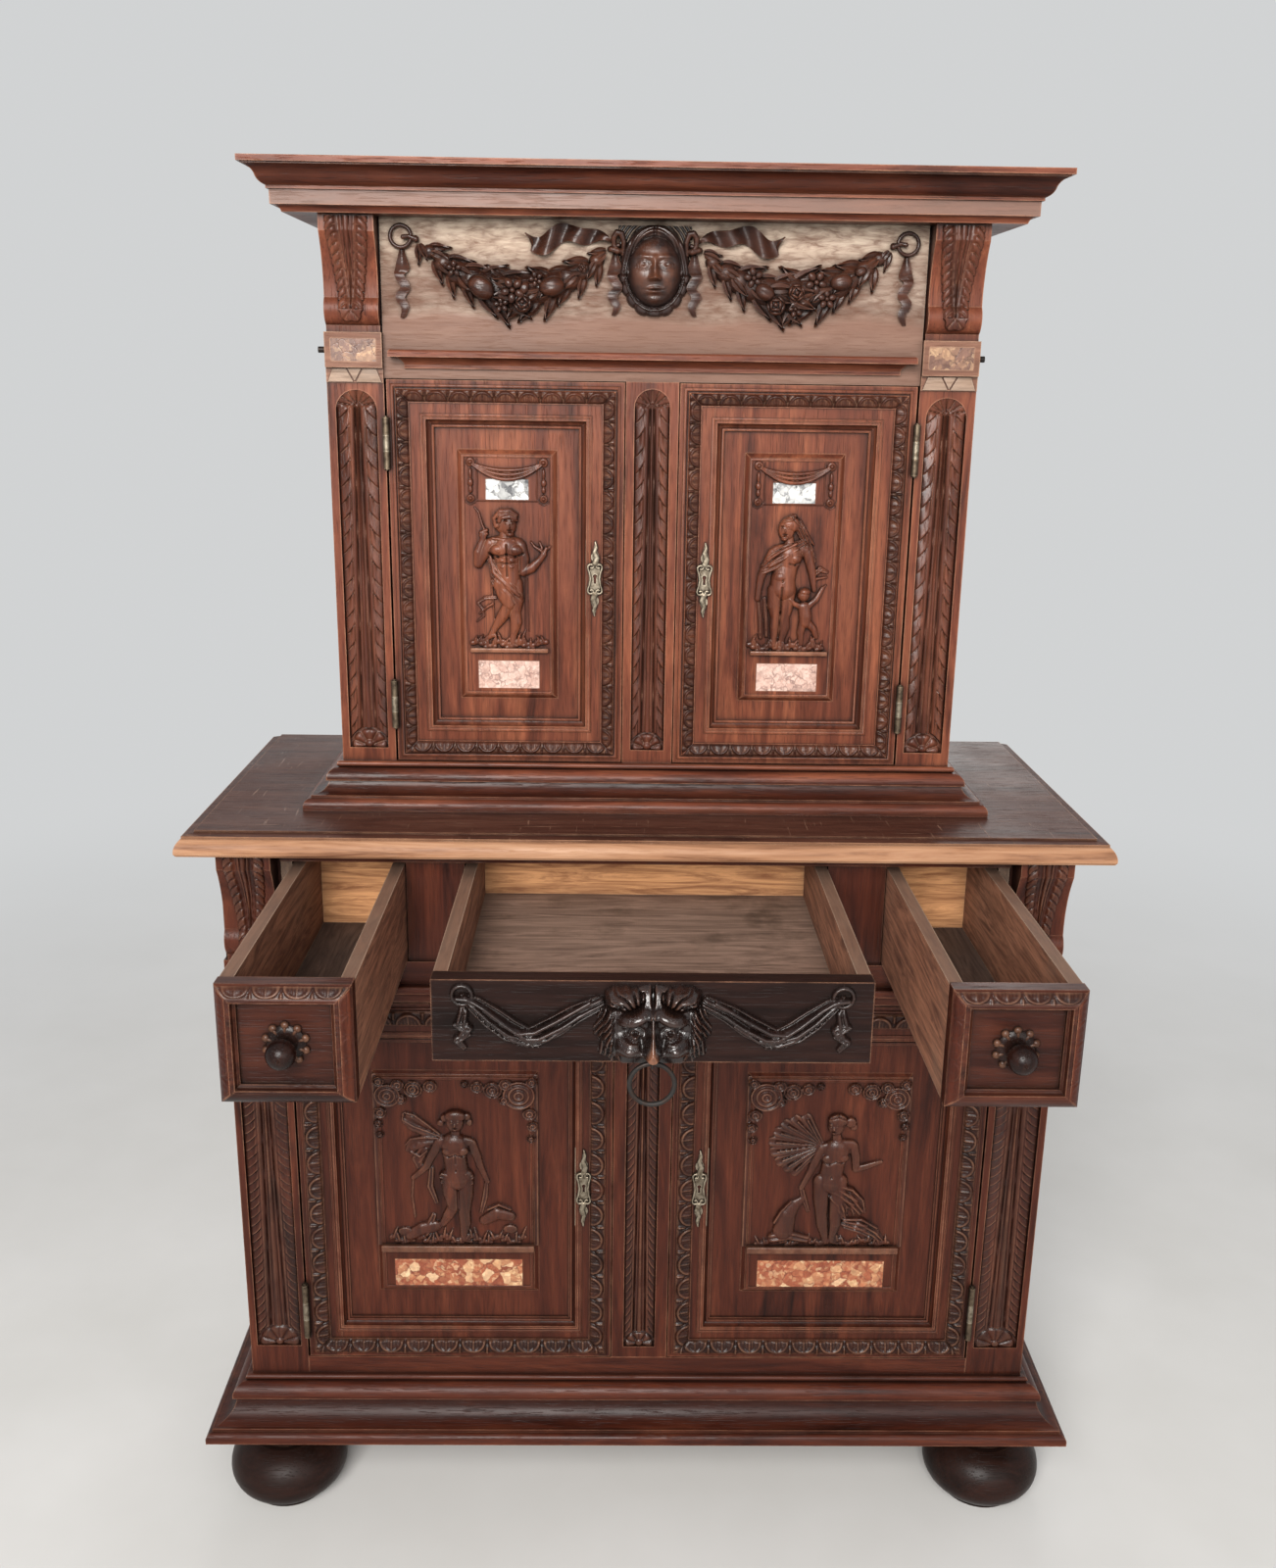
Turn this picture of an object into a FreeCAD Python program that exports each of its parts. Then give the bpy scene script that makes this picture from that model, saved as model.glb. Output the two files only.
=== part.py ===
import FreeCAD, Part
import Sketcher
import math
import os
import re

# A two-stage carved buffet. Millimetres, +Z up, the doors face -Y.
# The origin lies on the floor under the middle of the box that holds the buffet with its drawers pulled out.

DIMENSIONS = {
    # lower stage
    "lower_width": 997,
    "lower_depth": 426,
    "foot_height": 144,
    "foot_radius": 77,
    "foot_belly_height": 40,
    "foot_base_radius": 52,
    "foot_base_height": 8,
    "foot_bun_height": 82,
    "foot_shoulder_radius": 44,
    "foot_neck_radius": 36,
    "foot_inset_side": 79,
    "foot_inset_front": 104,
    "foot_inset_back": 88,
    "plinth_height": 69,
    "plinth_projection": 51.5,
    "sill_height": 24,
    "lower_bay_height": 497,
    "drawer_rail_height": 53.5,
    "top_rail_height": 17,
    "lower_post_width": 73,
    "lower_centre_width": 71,
    "lower_console_width": 62,
    "lower_console_setback": 15,
    "rail_moulding_height": 22,
    "rail_moulding_projection": 12,
    "rail_moulding_rise": 3,
    # table
    "table_width": 1072,
    "table_depth": 465,
    "table_thickness": 26,
    "table_edge": 22,
    # upper stage
    "upper_width": 733,
    "upper_depth": 325,
    "upper_plinth_height": 52,
    "upper_plinth_projection": 42.5,
    "upper_bay_height": 445,
    "frieze_height": 170,
    "frieze_recess": 4,
    "frieze_thickness": 22,
    "cornice_height": 52,
    "cornice_projection": 70.5,
    "upper_post_width": 64,
    "upper_centre_width": 60,
    "upper_console_height": 121,
    "upper_console_width": 60,
    "upper_console_projection": 34,
    "block_height": 38,
    "block_projection": 18,
    "block_plaque_width": 50,
    "block_plaque_height": 24,
    "block_plaque_depth": 3,
    "facet_strip_height": 16,
    "facet_strip_projection": 14,
    "frieze_moulding_width": 590,
    "frieze_moulding_height": 20,
    "frieze_moulding_projection": 20,
    "frieze_moulding_rise": 11,
    "mask_half_width": 36,
    "mask_half_height": 47,
    "mask_relief": 28,
    "mask_drop": 52,
    "garland_radius": 143,
    "garland_thickness": 18,
    "garland_centre": 156,
    "garland_bottom_drop": 75,
    "peg_radius": 3.5,
    "peg_length": 14,
    "peg_setback": 32,
    # carcass boards
    "pilaster_thickness": 12,
    "post_thickness": 40,
    "side_thickness": 22,
    "side_panel_thickness": 10,
    "side_panel_recess": 8,
    "side_stile_width": 62,
    "side_rail_height": 74,
    "plank_thickness": 12,
    "floor_thickness": 18,
    "shelf_thickness": 18,
    "lower_shelf_rise": 250,
    "upper_shelf_rise": 222,
    "upper_flute_width": 46,
    "lower_flute_width": 56,
    "centre_flute_width": 40,
    "flute_depth": 5,
    "flute_foot": 16,
    "flute_head": 8,
    # drawers
    "side_drawer_width": 129,
    "side_drawer_height": 122.5,
    "side_drawer_margin": 14.5,
    "side_drawer_length": 438,
    "side_drawer_open": 313,
    "side_drawer_proud": 26,
    "side_front_thickness": 15,
    "drawer_frame_width": 20,
    "drawer_frame_proud": 11,
    "divider_width": 71,
    "centre_drawer_height": 84.5,
    "centre_drawer_length": 432,
    "centre_drawer_open": 305,
    "centre_drawer_proud": 22,
    "centre_front_thickness": 20,
    "drawer_side_thickness": 14,
    "drawer_side_drop": 2,
    "drawer_back_thickness": 12,
    "drawer_back_drop": 8,
    "drawer_bottom_thickness": 8,
    "drawer_bottom_rise": 6,
    "drawer_clear": 0.4,
    "drawer_head": 1.5,
    "drawer_gap": 1.5,
    "runner_width": 30,
    "runner_height": 20,
    "guide_height": 40,
    "partition_thickness": 10,
    "divider_recess": 4,
    "knob_radius": 14.5,
    "knob_neck_radius": 6,
    "knob_rose_radius": 19,
    "knob_rose_thickness": 4,
    "knob_ball_out": 24,
    "knob_tip_radius": 2.5,
    "knob_tip_length": 4,
    "lion_half_width": 52,
    "lion_half_height": 41,
    "lion_relief": 27,
    "snout_half_width": 17,
    "snout_half_height": 14,
    "snout_out": 22,
    "snout_relief": 20,
    "snout_drop": 14,
    "mouth_half_width": 26,
    "mouth_height": 11,
    "mouth_setback": 6,
    "eye_width": 8,
    "eye_out": 21,
    "ring_out": 15,
    "ring_rise": 6,
    "ring_radius": 21.5,
    "ring_wire_radius": 2.4,
    "ring_play": 0.8,
    # doors
    "door_thickness": 22,
    "hinge_gap": 2.6,
    "lock_gap": 1.4,
    "door_gap": 1,
    "upper_stile": 40,
    "upper_carving_edge": 10,
    "upper_carving_width": 15,
    "lower_stile": 42,
    "lower_carving_edge": 8,
    "lower_carving_width": 20,
    "carving_proud": 5,
    "inner_moulding_width": 12,
    "panel_sink": 10,
    "panel_thickness": 10,
    "tablet_proud": 5,
    "tablet_bevel": 5,
    "upper_tablet_width": 115,
    "upper_tablet_height": 291,
    "lower_tablet_width": 202,
    "lower_tablet_height": 310,
    "marble_depth": 3.5,
    "marble_proud": 0.5,
    "white_marble_width": 49,
    "white_marble_height": 23,
    "white_marble_rise": 101,
    "pink_marble_width": 72,
    "pink_marble_height": 33,
    "pink_marble_drop": 116,
    "red_marble_width": 161,
    "red_marble_height": 38,
    "red_marble_drop": 126,
    # hinges and locks
    "upper_hinge_height": 57,
    "lower_hinge_height": 77,
    "hinge_inset": 70,
    "barrel_radius": 4,
    "barrel_clear": 0.3,
    "pin_radius": 2,
    "pin_clear": 0.05,
    "pin_overhang": 1.5,
    "knuckle_gap": 0.4,
    "knuckle_wall": 0.6,
    "leaf_thickness": 1,
    "leaf_depth": 18,
    "lock_height": 70,
    "lock_width": 32,
    "lock_depth": 12,
    "lock_inset": 3,
    "bolt_height": 14,
    "bolt_thickness": 5,
    "bolt_length": 30,
    "bolt_setback": 0.5,
    "bolt_throw": 8,
    "bolt_clear": 0.3,
    "mortise_clear": 1,
    "upper_escutcheon_height": 84,
    "lower_escutcheon_height": 104,
    "escutcheon_half_width": 6.5,
    "escutcheon_thickness": 2,
    "keyhole_radius": 2.4,
    "keyhole_slot": 3,
    "keyhole_height": 11,
}

# Planes and levels that several pieces share, worked out from the sizes above.
LINES = {
    "plinth_top": "foot_height + plinth_height",
    "lower_bay_low": "plinth_top + sill_height",
    "lower_bay_high": "lower_bay_low + lower_bay_height",
    "drawer_floor": "lower_bay_high + drawer_rail_height",
    "drawer_low": "drawer_floor + drawer_clear",
    "drawer_high": "drawer_low + side_drawer_height",
    "drawer_ceiling": "drawer_high + drawer_head",
    "centre_low": "drawer_high - centre_drawer_height",
    "centre_floor": "centre_low - drawer_clear",
    "table_under": "drawer_ceiling + top_rail_height",
    "table_face": "table_under + table_thickness",
    "upper_bay_low": "table_face + upper_plinth_height",
    "upper_bay_high": "upper_bay_low + upper_bay_height",
    "soffit": "upper_bay_high + frieze_height",
    "console_foot": "soffit - upper_console_height",
    "block_foot": "console_foot - block_height",
    "facet_foot": "block_foot - facet_strip_height",
    "knob_out": "knob_ball_out + knob_radius + knob_tip_length",
    "back": "(lower_depth + side_drawer_proud + side_drawer_open + knob_out) / 2",
    "plank_front": "back - plank_thickness",
    "lower_front": "back - lower_depth",
    "lower_post_front": "lower_front + pilaster_thickness",
    "lower_post_back": "lower_post_front + post_thickness",
    "upper_front": "back - upper_depth",
    "upper_post_front": "upper_front + pilaster_thickness",
    "upper_post_back": "upper_post_front + post_thickness",
    "frieze_face": "upper_front + frieze_recess",
    "lower_foot": "foot_height",
    "lower_head": "table_under",
    "upper_foot": "table_face",
    "upper_head": "soffit",
    "lower_half": "lower_width / 2",
    "lower_bay_edge": "lower_half - lower_post_width",
    "upper_half": "upper_width / 2",
    "upper_bay_edge": "upper_half - upper_post_width",
    "lower_mid": "lower_bay_low + lower_bay_height / 2",
    "upper_mid": "upper_bay_low + upper_bay_height / 2",
    "lower_bolt_plane": "lower_front + door_thickness + lock_depth / 2",
    "upper_bolt_plane": "upper_front + door_thickness + lock_depth / 2",
    "lower_hinge_line": "lower_bay_edge - hinge_gap / 2",
    "upper_hinge_line": "upper_bay_edge - hinge_gap / 2",
    "lower_hinge_plane": "lower_front - barrel_radius - barrel_clear",
    "upper_hinge_plane": "upper_front - barrel_radius - barrel_clear",
    "side_face": "lower_front - side_drawer_proud - side_drawer_open",
    "centre_face": "lower_front - centre_drawer_proud - centre_drawer_open",
    "side_outer": "lower_bay_edge - side_drawer_margin",
    "side_inner": "side_outer - side_drawer_width",
    "centre_half": "side_inner - divider_width",
    "lower_console_projection": "table_depth - lower_depth + pilaster_thickness - lower_console_setback",
    "lion_level": "centre_low + lion_half_height",
    "ring_axis_level": "centre_low + ring_rise",
    "ring_plane": "centre_face - ring_out",
}

# Moulding sections, in shares of the moulding's projection and height. They start at the wall, run out
# along the bottom, up the front and back along the top. A third number is the turn of the arc that leads
# to the next point: positive swells outwards, negative is hollow.
PLINTH_SECTION = [
    (0, 0), (1, 0), (1, 0.09, 90), (0.855, 0.19), (0.855, 0.25), (0.78, 0.25, -80), (0.35, 0.65),
    (0.43, 0.65), (0.43, 0.7, 80), (0.195, 0.9), (0.1, 0.9, 150), (0.1, 1), (0, 1),
]
UPPER_PLINTH_SECTION = [
    (0, 0), (1, 0), (1, 0.1, 90), (0.8, 0.27), (0.8, 0.33), (0.7, 0.33, -80), (0.35, 0.6),
    (0.43, 0.6), (0.43, 0.66, 80), (0.19, 0.86), (0.095, 0.86, 150), (0.095, 1), (0, 1),
]
CORNICE_SECTION = [
    (0, 0), (0.48, 0, -70), (0.57, 0.13), (0.62, 0.13), (0.62, 0.42), (0.66, 0.42), (0.66, 0.48, 60),
    (0.79, 0.67, -60), (0.95, 0.85), (0.95, 0.88), (1, 0.88), (1, 1), (0, 1),
]
LIP_SECTION = [
    (0, 0), (0.25, 0), (0.25, 0.2, -70), (0.75, 0.62), (1, 0.62), (1, 0.88, 60), (0.88, 1), (0, 1),
]
CARVING_SECTION = [(0, 0), (1, 0), (1, 0.7), (0.87, 1, 24), (0.08, 0.3), (0, 0.3)]
INNER_SECTION = [(0, 0), (1, 0), (1, 1), (0.75, 1), (0.7, 0.7, -70), (0.2, 0.25), (0, 0.25)]
DRAWER_FRAME_SECTION = [(0, 0), (1, 0), (1, 0.14, 40), (0.35, 1), (0.2, 1), (0.12, 0.6), (0, 0.4)]
CONSOLE_SECTION = [(0, 0), (0.36, 0), (0.36, 0.06, 110), (0.5, 0.3, -35), (1, 0.86), (1, 1), (0, 1)]
# Edges of boards, in shares inwards from the edge and upwards from the underside. In these a negative turn
# swells outwards.
TABLE_EDGE_SECTION = [(0.1, 0), (0, 0.12, -60), (0.36, 0.76), (0.36, 0.86), (0.9, 0.92), (0.9, 1)]
FRIEZE_EDGE_SECTION = [(0.8, 0), (0.8, 0.2, 70), (0.25, 0.62), (0, 0.62), (0, 0.88, -60), (0.12, 1)]
ESCUTCHEON_SIDE = [
    (0, 0), (0.45, 0.14, 90), (0.3, 0.26), (0.75, 0.33, 10), (1, 0.5, 10), (0.75, 0.67), (0.3, 0.74, 90),
    (0.45, 0.86),
]

BACK_PLANKS = 5
GARLAND_SWEEP = 97
SIDES = {"left": -1, "right": 1}
STAGES = ("upper", "lower")
BACK_TURN = FreeCAD.Rotation(FreeCAD.Vector(0, 0, 1), 180)
LEFT_TURN = FreeCAD.Rotation(FreeCAD.Vector(0, 0, 1), 90)
RIGHT_TURN = FreeCAD.Rotation(FreeCAD.Vector(0, 0, 1), -90)
FACE_FRONT = FreeCAD.Rotation(FreeCAD.Vector(1, 0, 0), 90)
ALONG_X = FreeCAD.Rotation(FreeCAD.Vector(0, 1, 0), 90)
WORD = re.compile(r"[A-Za-z_]\w*")

doc = FreeCAD.newDocument("buffet")
sheet = doc.addObject("Spreadsheet::Sheet", "dims")
for row, (alias, size) in enumerate(DIMENSIONS.items(), start=1):
    sheet.set(f"A{row}", alias)
    sheet.set(f"B{row}", str(size))
    sheet.setAlias(f"B{row}", alias)
doc.recompute()
nodes = {}


def formula(text):
    """An expression on the sheet: shared lines are written out and sizes named as cells."""
    def swap(match):
        word = match.group(0)
        if word in LINES:
            return "(" + formula(LINES[word]) + ")"
        if word in DIMENSIONS:
            return "dims." + word
        return word
    return WORD.sub(swap, str(text))


def number(text):
    worth = sheet.evalExpression(formula(text))
    return float(getattr(worth, "Value", worth))


def bind(thing, **sizes):
    for name, text in sizes.items():
        thing.setExpression(name, formula(text))
    return thing


def place(thing, base, rotation=None):
    if rotation:
        thing.Placement = FreeCAD.Placement(FreeCAD.Vector(), rotation)
    for axis, text in zip("xyz", base):
        thing.setExpression(f"Placement.Base.{axis}", formula(text))
    return thing


def sided(side, low, high):
    """A span measured from the middle of the buffet, on its left (-1) or right (1)."""
    return (low, high) if side > 0 else (f"-({high})", f"-({low})")


def about(centre, half):
    return f"({centre}) - ({half})", f"({centre}) + ({half})"


def board(name, across, deep, tall):
    """A board between two planes each way."""
    thing = doc.addObject("Part::Box", name)
    spans = (across, deep, tall)
    for size, (low, high) in zip(("Length", "Width", "Height"), spans):
        bind(thing, **{size: f"({high}) - ({low})"})
    return place(thing, [low for low, high in spans])


def rod(name, radius, length, base, rotation=None):
    thing = bind(doc.addObject("Part::Cylinder", name), Radius=radius, Height=length)
    return place(thing, base, rotation)


def ball(name, centre, across, deep, tall):
    """An ellipsoid by its half sizes."""
    thing = bind(doc.addObject("Part::Ellipsoid", name), Radius1=tall, Radius2=across, Radius3=deep)
    thing.Angle1 = -90
    thing.Angle2 = 90
    thing.Angle3 = 360
    return place(thing, centre)


def cut(name, base, tool):
    thing = doc.addObject("Part::Cut", name)
    thing.Base = base
    thing.Tool = tool
    return thing


def fuse(name, pieces):
    thing = doc.addObject("Part::MultiFuse", name)
    thing.Shapes = pieces
    return thing


def common(name, first, second):
    thing = doc.addObject("Part::Common", name)
    thing.Base = first
    thing.Tool = second
    return thing


def node(label, pieces):
    """A named sub-part, made of one solid or of a group of separate solids."""
    thing = doc.addObject("Part::Compound", label)
    thing.Label = label
    thing.Links = pieces
    nodes[label] = thing


def outline(body, name, role, points):
    """A closed outline on one of the body's origin planes, every corner bound to the sheet."""
    sketch = body.newObject("Sketcher::SketchObject", name)
    plane = next(item for item in body.Origin.OriginFeatures if item.Role == role)
    sketch.AttachmentSupport = [(plane, "")]
    sketch.MapMode = "FlatFace"
    places = [FreeCAD.Vector(number(point[0]), number(point[1]), 0) for point in points]
    edges = []
    for index, point in enumerate(points):
        first = places[index]
        last = places[(index + 1) % len(points)]
        if len(point) < 3:
            edges.append((sketch.addGeometry(Part.LineSegment(first, last)), 1, 2))
            continue
        turn = math.radians(number(point[2]))
        chord = last - first
        aside = FreeCAD.Vector(chord.y, -chord.x, 0)
        middle = (first + last) * 0.5 + aside * (0.5 * math.tan(turn / 4))
        if turn > 0:
            edges.append((sketch.addGeometry(Part.Arc(first, middle, last)), 1, 2))
        else:
            edges.append((sketch.addGeometry(Part.Arc(last, middle, first)), 2, 1))
        angle = sketch.addConstraint(Sketcher.Constraint("Angle", edges[-1][0], abs(turn)))
        if isinstance(point[2], str):
            sketch.setExpression(f"Constraints[{angle}]", formula(point[2]))
    for index, point in enumerate(points):
        edge, begin, _ = edges[index]
        before, _, before_end = edges[index - 1]
        sketch.addConstraint(Sketcher.Constraint("Coincident", before, before_end, edge, begin))
        for kind, text in (("DistanceX", point[0]), ("DistanceY", point[1])):
            where = sketch.addConstraint(Sketcher.Constraint(kind, -1, 1, edge, begin, number(text)))
            sketch.setExpression(f"Constraints[{where}]", formula(text))
    return sketch


def padded(name, role, points, length):
    """A body made by padding one outline."""
    body = doc.addObject("PartDesign::Body", name)
    pad = body.newObject("PartDesign::Pad", name + "_pad")
    pad.Profile = outline(body, name + "_outline", role, points)
    bind(pad, Length=length)
    return body


def pocketed(body, name, role, points, length):
    pocket = body.newObject("PartDesign::Pocket", name)
    pocket.Profile = outline(body, name + "_outline", role, points)
    pocket.Reversed = True
    bind(pocket, Length=length)


def turned(name, points):
    """A body of revolution: points are radius and height."""
    body = doc.addObject("PartDesign::Body", name)
    sketch = outline(body, name + "_outline", "XZ_Plane", points)
    revolution = body.newObject("PartDesign::Revolution", name + "_turning")
    revolution.Profile = sketch
    revolution.ReferenceAxis = (sketch, ["V_Axis"])
    revolution.Angle = 360
    return body


def sized(section, projection, height):
    """A moulding section at its real size."""
    return [(f"{p[0]} * ({projection})", f"{p[1]} * ({height})") + tuple(p[2:]) for p in section]


def strip(name, section, projection, height, length, mitre_start, mitre_end):
    """A length of moulding along X with its wall side on Y = 0, its ends cut square or mitred."""
    body = padded(name, "YZ_Plane", sized(section, projection, height), length)
    reach = f"{projection} + 1"
    if mitre_start:
        corner = [(-1, -1), (reach, -1), (-1, reach)]
        pocketed(body, name + "_start", "XY_Plane", corner, height)
    if mitre_end:
        corner = [(f"{length} + 1", -1), (f"{length} + 1", reach), (f"{length} - ({reach})", -1)]
        pocketed(body, name + "_end", "XY_Plane", corner, height)
    return body


def wrapped_moulding(label, section, projection, height, half, front, level):
    """A front strip and two side returns round a cabinet, mitred at the front corners."""
    front_length = f"2 * ({half}) + 2 * {projection}"
    side_length = f"back - ({front}) + {projection}"
    face = strip(label + "_front", section, projection, height, front_length, True, True)
    place(face, (f"{half} + {projection}", front, level), BACK_TURN)
    left = strip(label + "_left", section, projection, height, side_length, True, False)
    place(left, (f"-({half})", f"({front}) - {projection}", level), LEFT_TURN)
    right = strip(label + "_right", section, projection, height, side_length, False, True)
    place(right, (half, "back", level), RIGHT_TURN)
    node(label, [face, left, right])


def framing(name, section, width, proud, across, face, tall):
    """Four mitred strips round a rectangle on a front face, the section's outer side on the rectangle."""
    (left, right), (low, high) = across, tall
    x, y, z = (FreeCAD.Vector(1, 0, 0), FreeCAD.Vector(0, 1, 0), FreeCAD.Vector(0, 0, 1))
    runs = {
        "bottom": (across, -x, -z, (right, face, f"({low}) + {width}")),
        "top": (across, x, z, (left, face, f"({high}) - {width}")),
        "left": (tall, z, -x, (f"({left}) + {width}", face, low)),
        "right": (tall, -z, x, (f"({right}) - {width}", face, high)),
    }
    strips = []
    for where, ((start, end), along, outward, base) in runs.items():
        piece = strip(f"{name}_{where}", section, width, proud, f"(({end}) - ({start}))", True, True)
        strips.append(place(piece, base, FreeCAD.Rotation(along, outward, -y, "XYZ")))
    return strips


def mirrored(points, axis):
    """The same outline on the far side of an axis, walked back."""
    far = []
    for index in range(len(points) - 1, -1, -1):
        arc = points[index - 1][2:] if index else ()
        far.append((f"2 * ({axis}) - ({points[index][0]})", points[index][1]) + arc)
    return far


def moulded_board(name, section, edge, width, depth, height, base):
    """A board whose front and side edges all carry one section, mitred where they meet."""
    x, y, z = base
    near = sized(section, edge, height)
    lengthwise = padded(name + "_front_edge", "YZ_Plane", near + [(depth, height), (depth, 0)], width)
    place(lengthwise, base)
    crosswise = padded(name + "_side_edges", "XZ_Plane", near + mirrored(near, f"{width} / 2"), depth)
    place(crosswise, (x, f"{y} + {depth}", z))
    return common(name + "_board", lengthwise, crosswise)


def bun_feet():
    """Four turned feet: a base disc, a bun and a neck."""
    half = "lower_half + plinth_projection - foot_inset_side"
    front = "lower_front - plinth_projection + foot_inset_front"
    lower_turn = "2 * atan((foot_radius - foot_base_radius) / (foot_belly_height - foot_base_height))"
    upper_turn = "2 * atan((foot_radius - foot_shoulder_radius) / (foot_bun_height - foot_belly_height))"
    section = [
        (0, 0),
        ("foot_base_radius", 0),
        ("foot_base_radius", "foot_base_height", lower_turn),
        ("foot_radius", "foot_belly_height", upper_turn),
        ("foot_shoulder_radius", "foot_bun_height"),
        ("foot_neck_radius", "foot_bun_height"),
        ("foot_neck_radius", "foot_height"),
        (0, "foot_height"),
    ]
    feet = []
    for name, side in SIDES.items():
        for where, deep in (("front", front), ("back", "back - foot_inset_back")):
            foot = turned(f"foot_{where}_{name}", section)
            feet.append(place(foot, (f"{side} * ({half})", deep, 0)))
    node("bun_feet", feet)


def boards():
    """The floors of both cupboards, the top board under the cornice, the shelves and the back planks."""
    flat = []
    shelves = []
    planks = []
    for stage in STAGES:
        inner = f"{stage}_half - side_thickness"
        across = about(0, inner)
        deep = (f"{stage}_post_back", "plank_front")
        floor = f"{stage}_bay_low"
        shelf = f"{stage}_bay_low + {stage}_shelf_rise"
        flat.append(board(f"{stage}_floor", across, deep, (f"{floor} - floor_thickness", floor)))
        shelves.append(board(f"{stage}_shelf", across, deep, (shelf, f"{shelf} + shelf_thickness")))
        for index in range(BACK_PLANKS):
            start = f"2 * ({inner}) * {index} / {BACK_PLANKS} - ({inner})"
            end = f"2 * ({inner}) * {index + 1} / {BACK_PLANKS} - ({inner})"
            tall = (f"{stage}_foot", f"{stage}_head")
            planks.append(board(f"{stage}_plank_{index + 1}", (start, end), ("plank_front", "back"), tall))
    crown = ("soffit", "soffit + floor_thickness")
    flat.append(board("top_board", about(0, "upper_half"), ("upper_front", "back"), crown))
    node("floor_and_top_boards", flat)
    node("shelves", shelves)
    node("back_planks", planks)


def side_frames(stage, plinth):
    """Framed and panelled sides: a back stile, two rails and a panel between them and the corner post."""
    pieces = []
    low, high = f"{stage}_foot", f"{stage}_head"
    low_rail = f"{low} + {plinth} + side_rail_height"
    high_rail = f"{high} - side_rail_height"
    stile = "back - side_stile_width"
    for name, side in SIDES.items():
        across = sided(side, f"{stage}_half - side_thickness", f"{stage}_half")
        between = (f"{stage}_post_back", stile)
        sunk = f"{stage}_half - side_panel_recess"
        panel = sided(side, f"{sunk} - side_panel_thickness", sunk)
        pieces.append(board(f"{stage}_{name}_back_stile", across, (stile, "back"), (low, high)))
        pieces.append(board(f"{stage}_{name}_low_rail", across, between, (low, low_rail)))
        pieces.append(board(f"{stage}_{name}_high_rail", across, between, (high_rail, high)))
        pieces.append(board(f"{stage}_{name}_side_panel", panel, between, (low_rail, high_rail)))
    node(f"{stage}_sides", pieces)


def posts():
    """Corner posts of both stages, and centre posts with a mortise for each lock bolt."""
    pieces = []
    for stage in STAGES:
        deep = (f"{stage}_post_front", f"{stage}_post_back")
        for name, side in SIDES.items():
            across = sided(side, f"{stage}_bay_edge", f"{stage}_half")
            pieces.append(board(f"{stage}_{name}_post", across, deep, (f"{stage}_foot", f"{stage}_head")))
        half = f"{stage}_centre_width / 2"
        post = board(f"{stage}_centre_post", about(0, half), deep, (f"{stage}_bay_low", f"{stage}_bay_high"))
        for name, side in SIDES.items():
            across = sided(side, f"{half} - bolt_throw - mortise_clear", half)
            bolt_deep = about(f"{stage}_bolt_plane", "bolt_thickness / 2 + mortise_clear")
            bolt_tall = about(f"{stage}_mid", "bolt_height / 2 + mortise_clear")
            mortise = board(f"{stage}_{name}_mortise_space", across, bolt_deep, bolt_tall)
            post = cut(f"{stage}_{name}_mortised_post", post, mortise)
        pieces.append(post)
    node("posts", pieces)


def pilaster(name, across, stage, foot, head, flute_width, flute_head):
    """A carved face board with a sunk flute whose head is round."""
    low, high = across
    middle = f"(({low}) + ({high})) / 2"
    front = f"{stage}_front"
    deep = (front, f"{front} + flute_depth")
    arch = f"({flute_head}) - flute_head - {flute_width} / 2"
    face = board(name + "_board", across, (front, f"{stage}_post_front"), (foot, head))
    tall = (f"{stage}_bay_low + flute_foot", arch)
    shaft = board(name + "_shaft", about(middle, f"{flute_width} / 2"), deep, tall)
    crown = rod(name + "_crown", f"{flute_width} / 2", "flute_depth", (middle, deep[1], arch), FACE_FRONT)
    return cut(name, face, fuse(name + "_flute", [shaft, crown]))


def pilasters(stage, head, flute_head):
    pieces = []
    for name, side in SIDES.items():
        across = sided(side, f"{stage}_bay_edge", f"{stage}_half")
        width = f"{stage}_flute_width"
        label = f"{stage}_{name}_pilaster"
        pieces.append(pilaster(label, across, stage, f"{stage}_foot", head, width, flute_head))
    across = about(0, f"{stage}_centre_width / 2")
    bay = (f"{stage}_bay_low", f"{stage}_bay_high")
    pieces.append(pilaster(f"{stage}_centre_pilaster", across, stage, *bay, "centre_flute_width", bay[1]))
    node(f"{stage}_pilasters", pieces)


def rails():
    """Bottom, drawer, filler and top rails of the lower stage, and the bottom rail of the upper one."""
    deep = ("lower_front", "lower_post_back")
    across = about(0, "lower_bay_edge")
    filler = about(0, "centre_half + drawer_gap")
    upper_deep = ("upper_front", "upper_post_back")
    pieces = [
        board("bottom_rail", across, deep, ("foot_height", "lower_bay_low")),
        board("drawer_rail", across, deep, ("lower_bay_high", "drawer_floor")),
        board("centre_filler_rail", filler, deep, ("drawer_floor", "centre_floor")),
        board("top_rail", across, deep, ("drawer_ceiling", "table_under")),
        board("upper_bottom_rail", about(0, "upper_bay_edge"), upper_deep, ("table_face", "upper_bay_low")),
    ]
    node("rails", pieces)


def rail_mouldings():
    """The lip under the drawers, across the whole front, and the returned lip over the upper doors."""
    lip = strip("drawer_lip", LIP_SECTION, "rail_moulding_projection", "rail_moulding_height", "lower_width",
                False, False)
    place(lip, ("lower_half", "lower_front", "lower_bay_high + rail_moulding_rise"), BACK_TURN)
    base = ("-frieze_moulding_width / 2", "frieze_face - frieze_moulding_projection",
            "upper_bay_high + frieze_moulding_rise")
    depth = "frieze_moulding_projection"
    frieze_lip = moulded_board("frieze_lip", FRIEZE_EDGE_SECTION, depth, "frieze_moulding_width", depth,
                               "frieze_moulding_height", base)
    node("rail_mouldings", [lip, frieze_lip])


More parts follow.
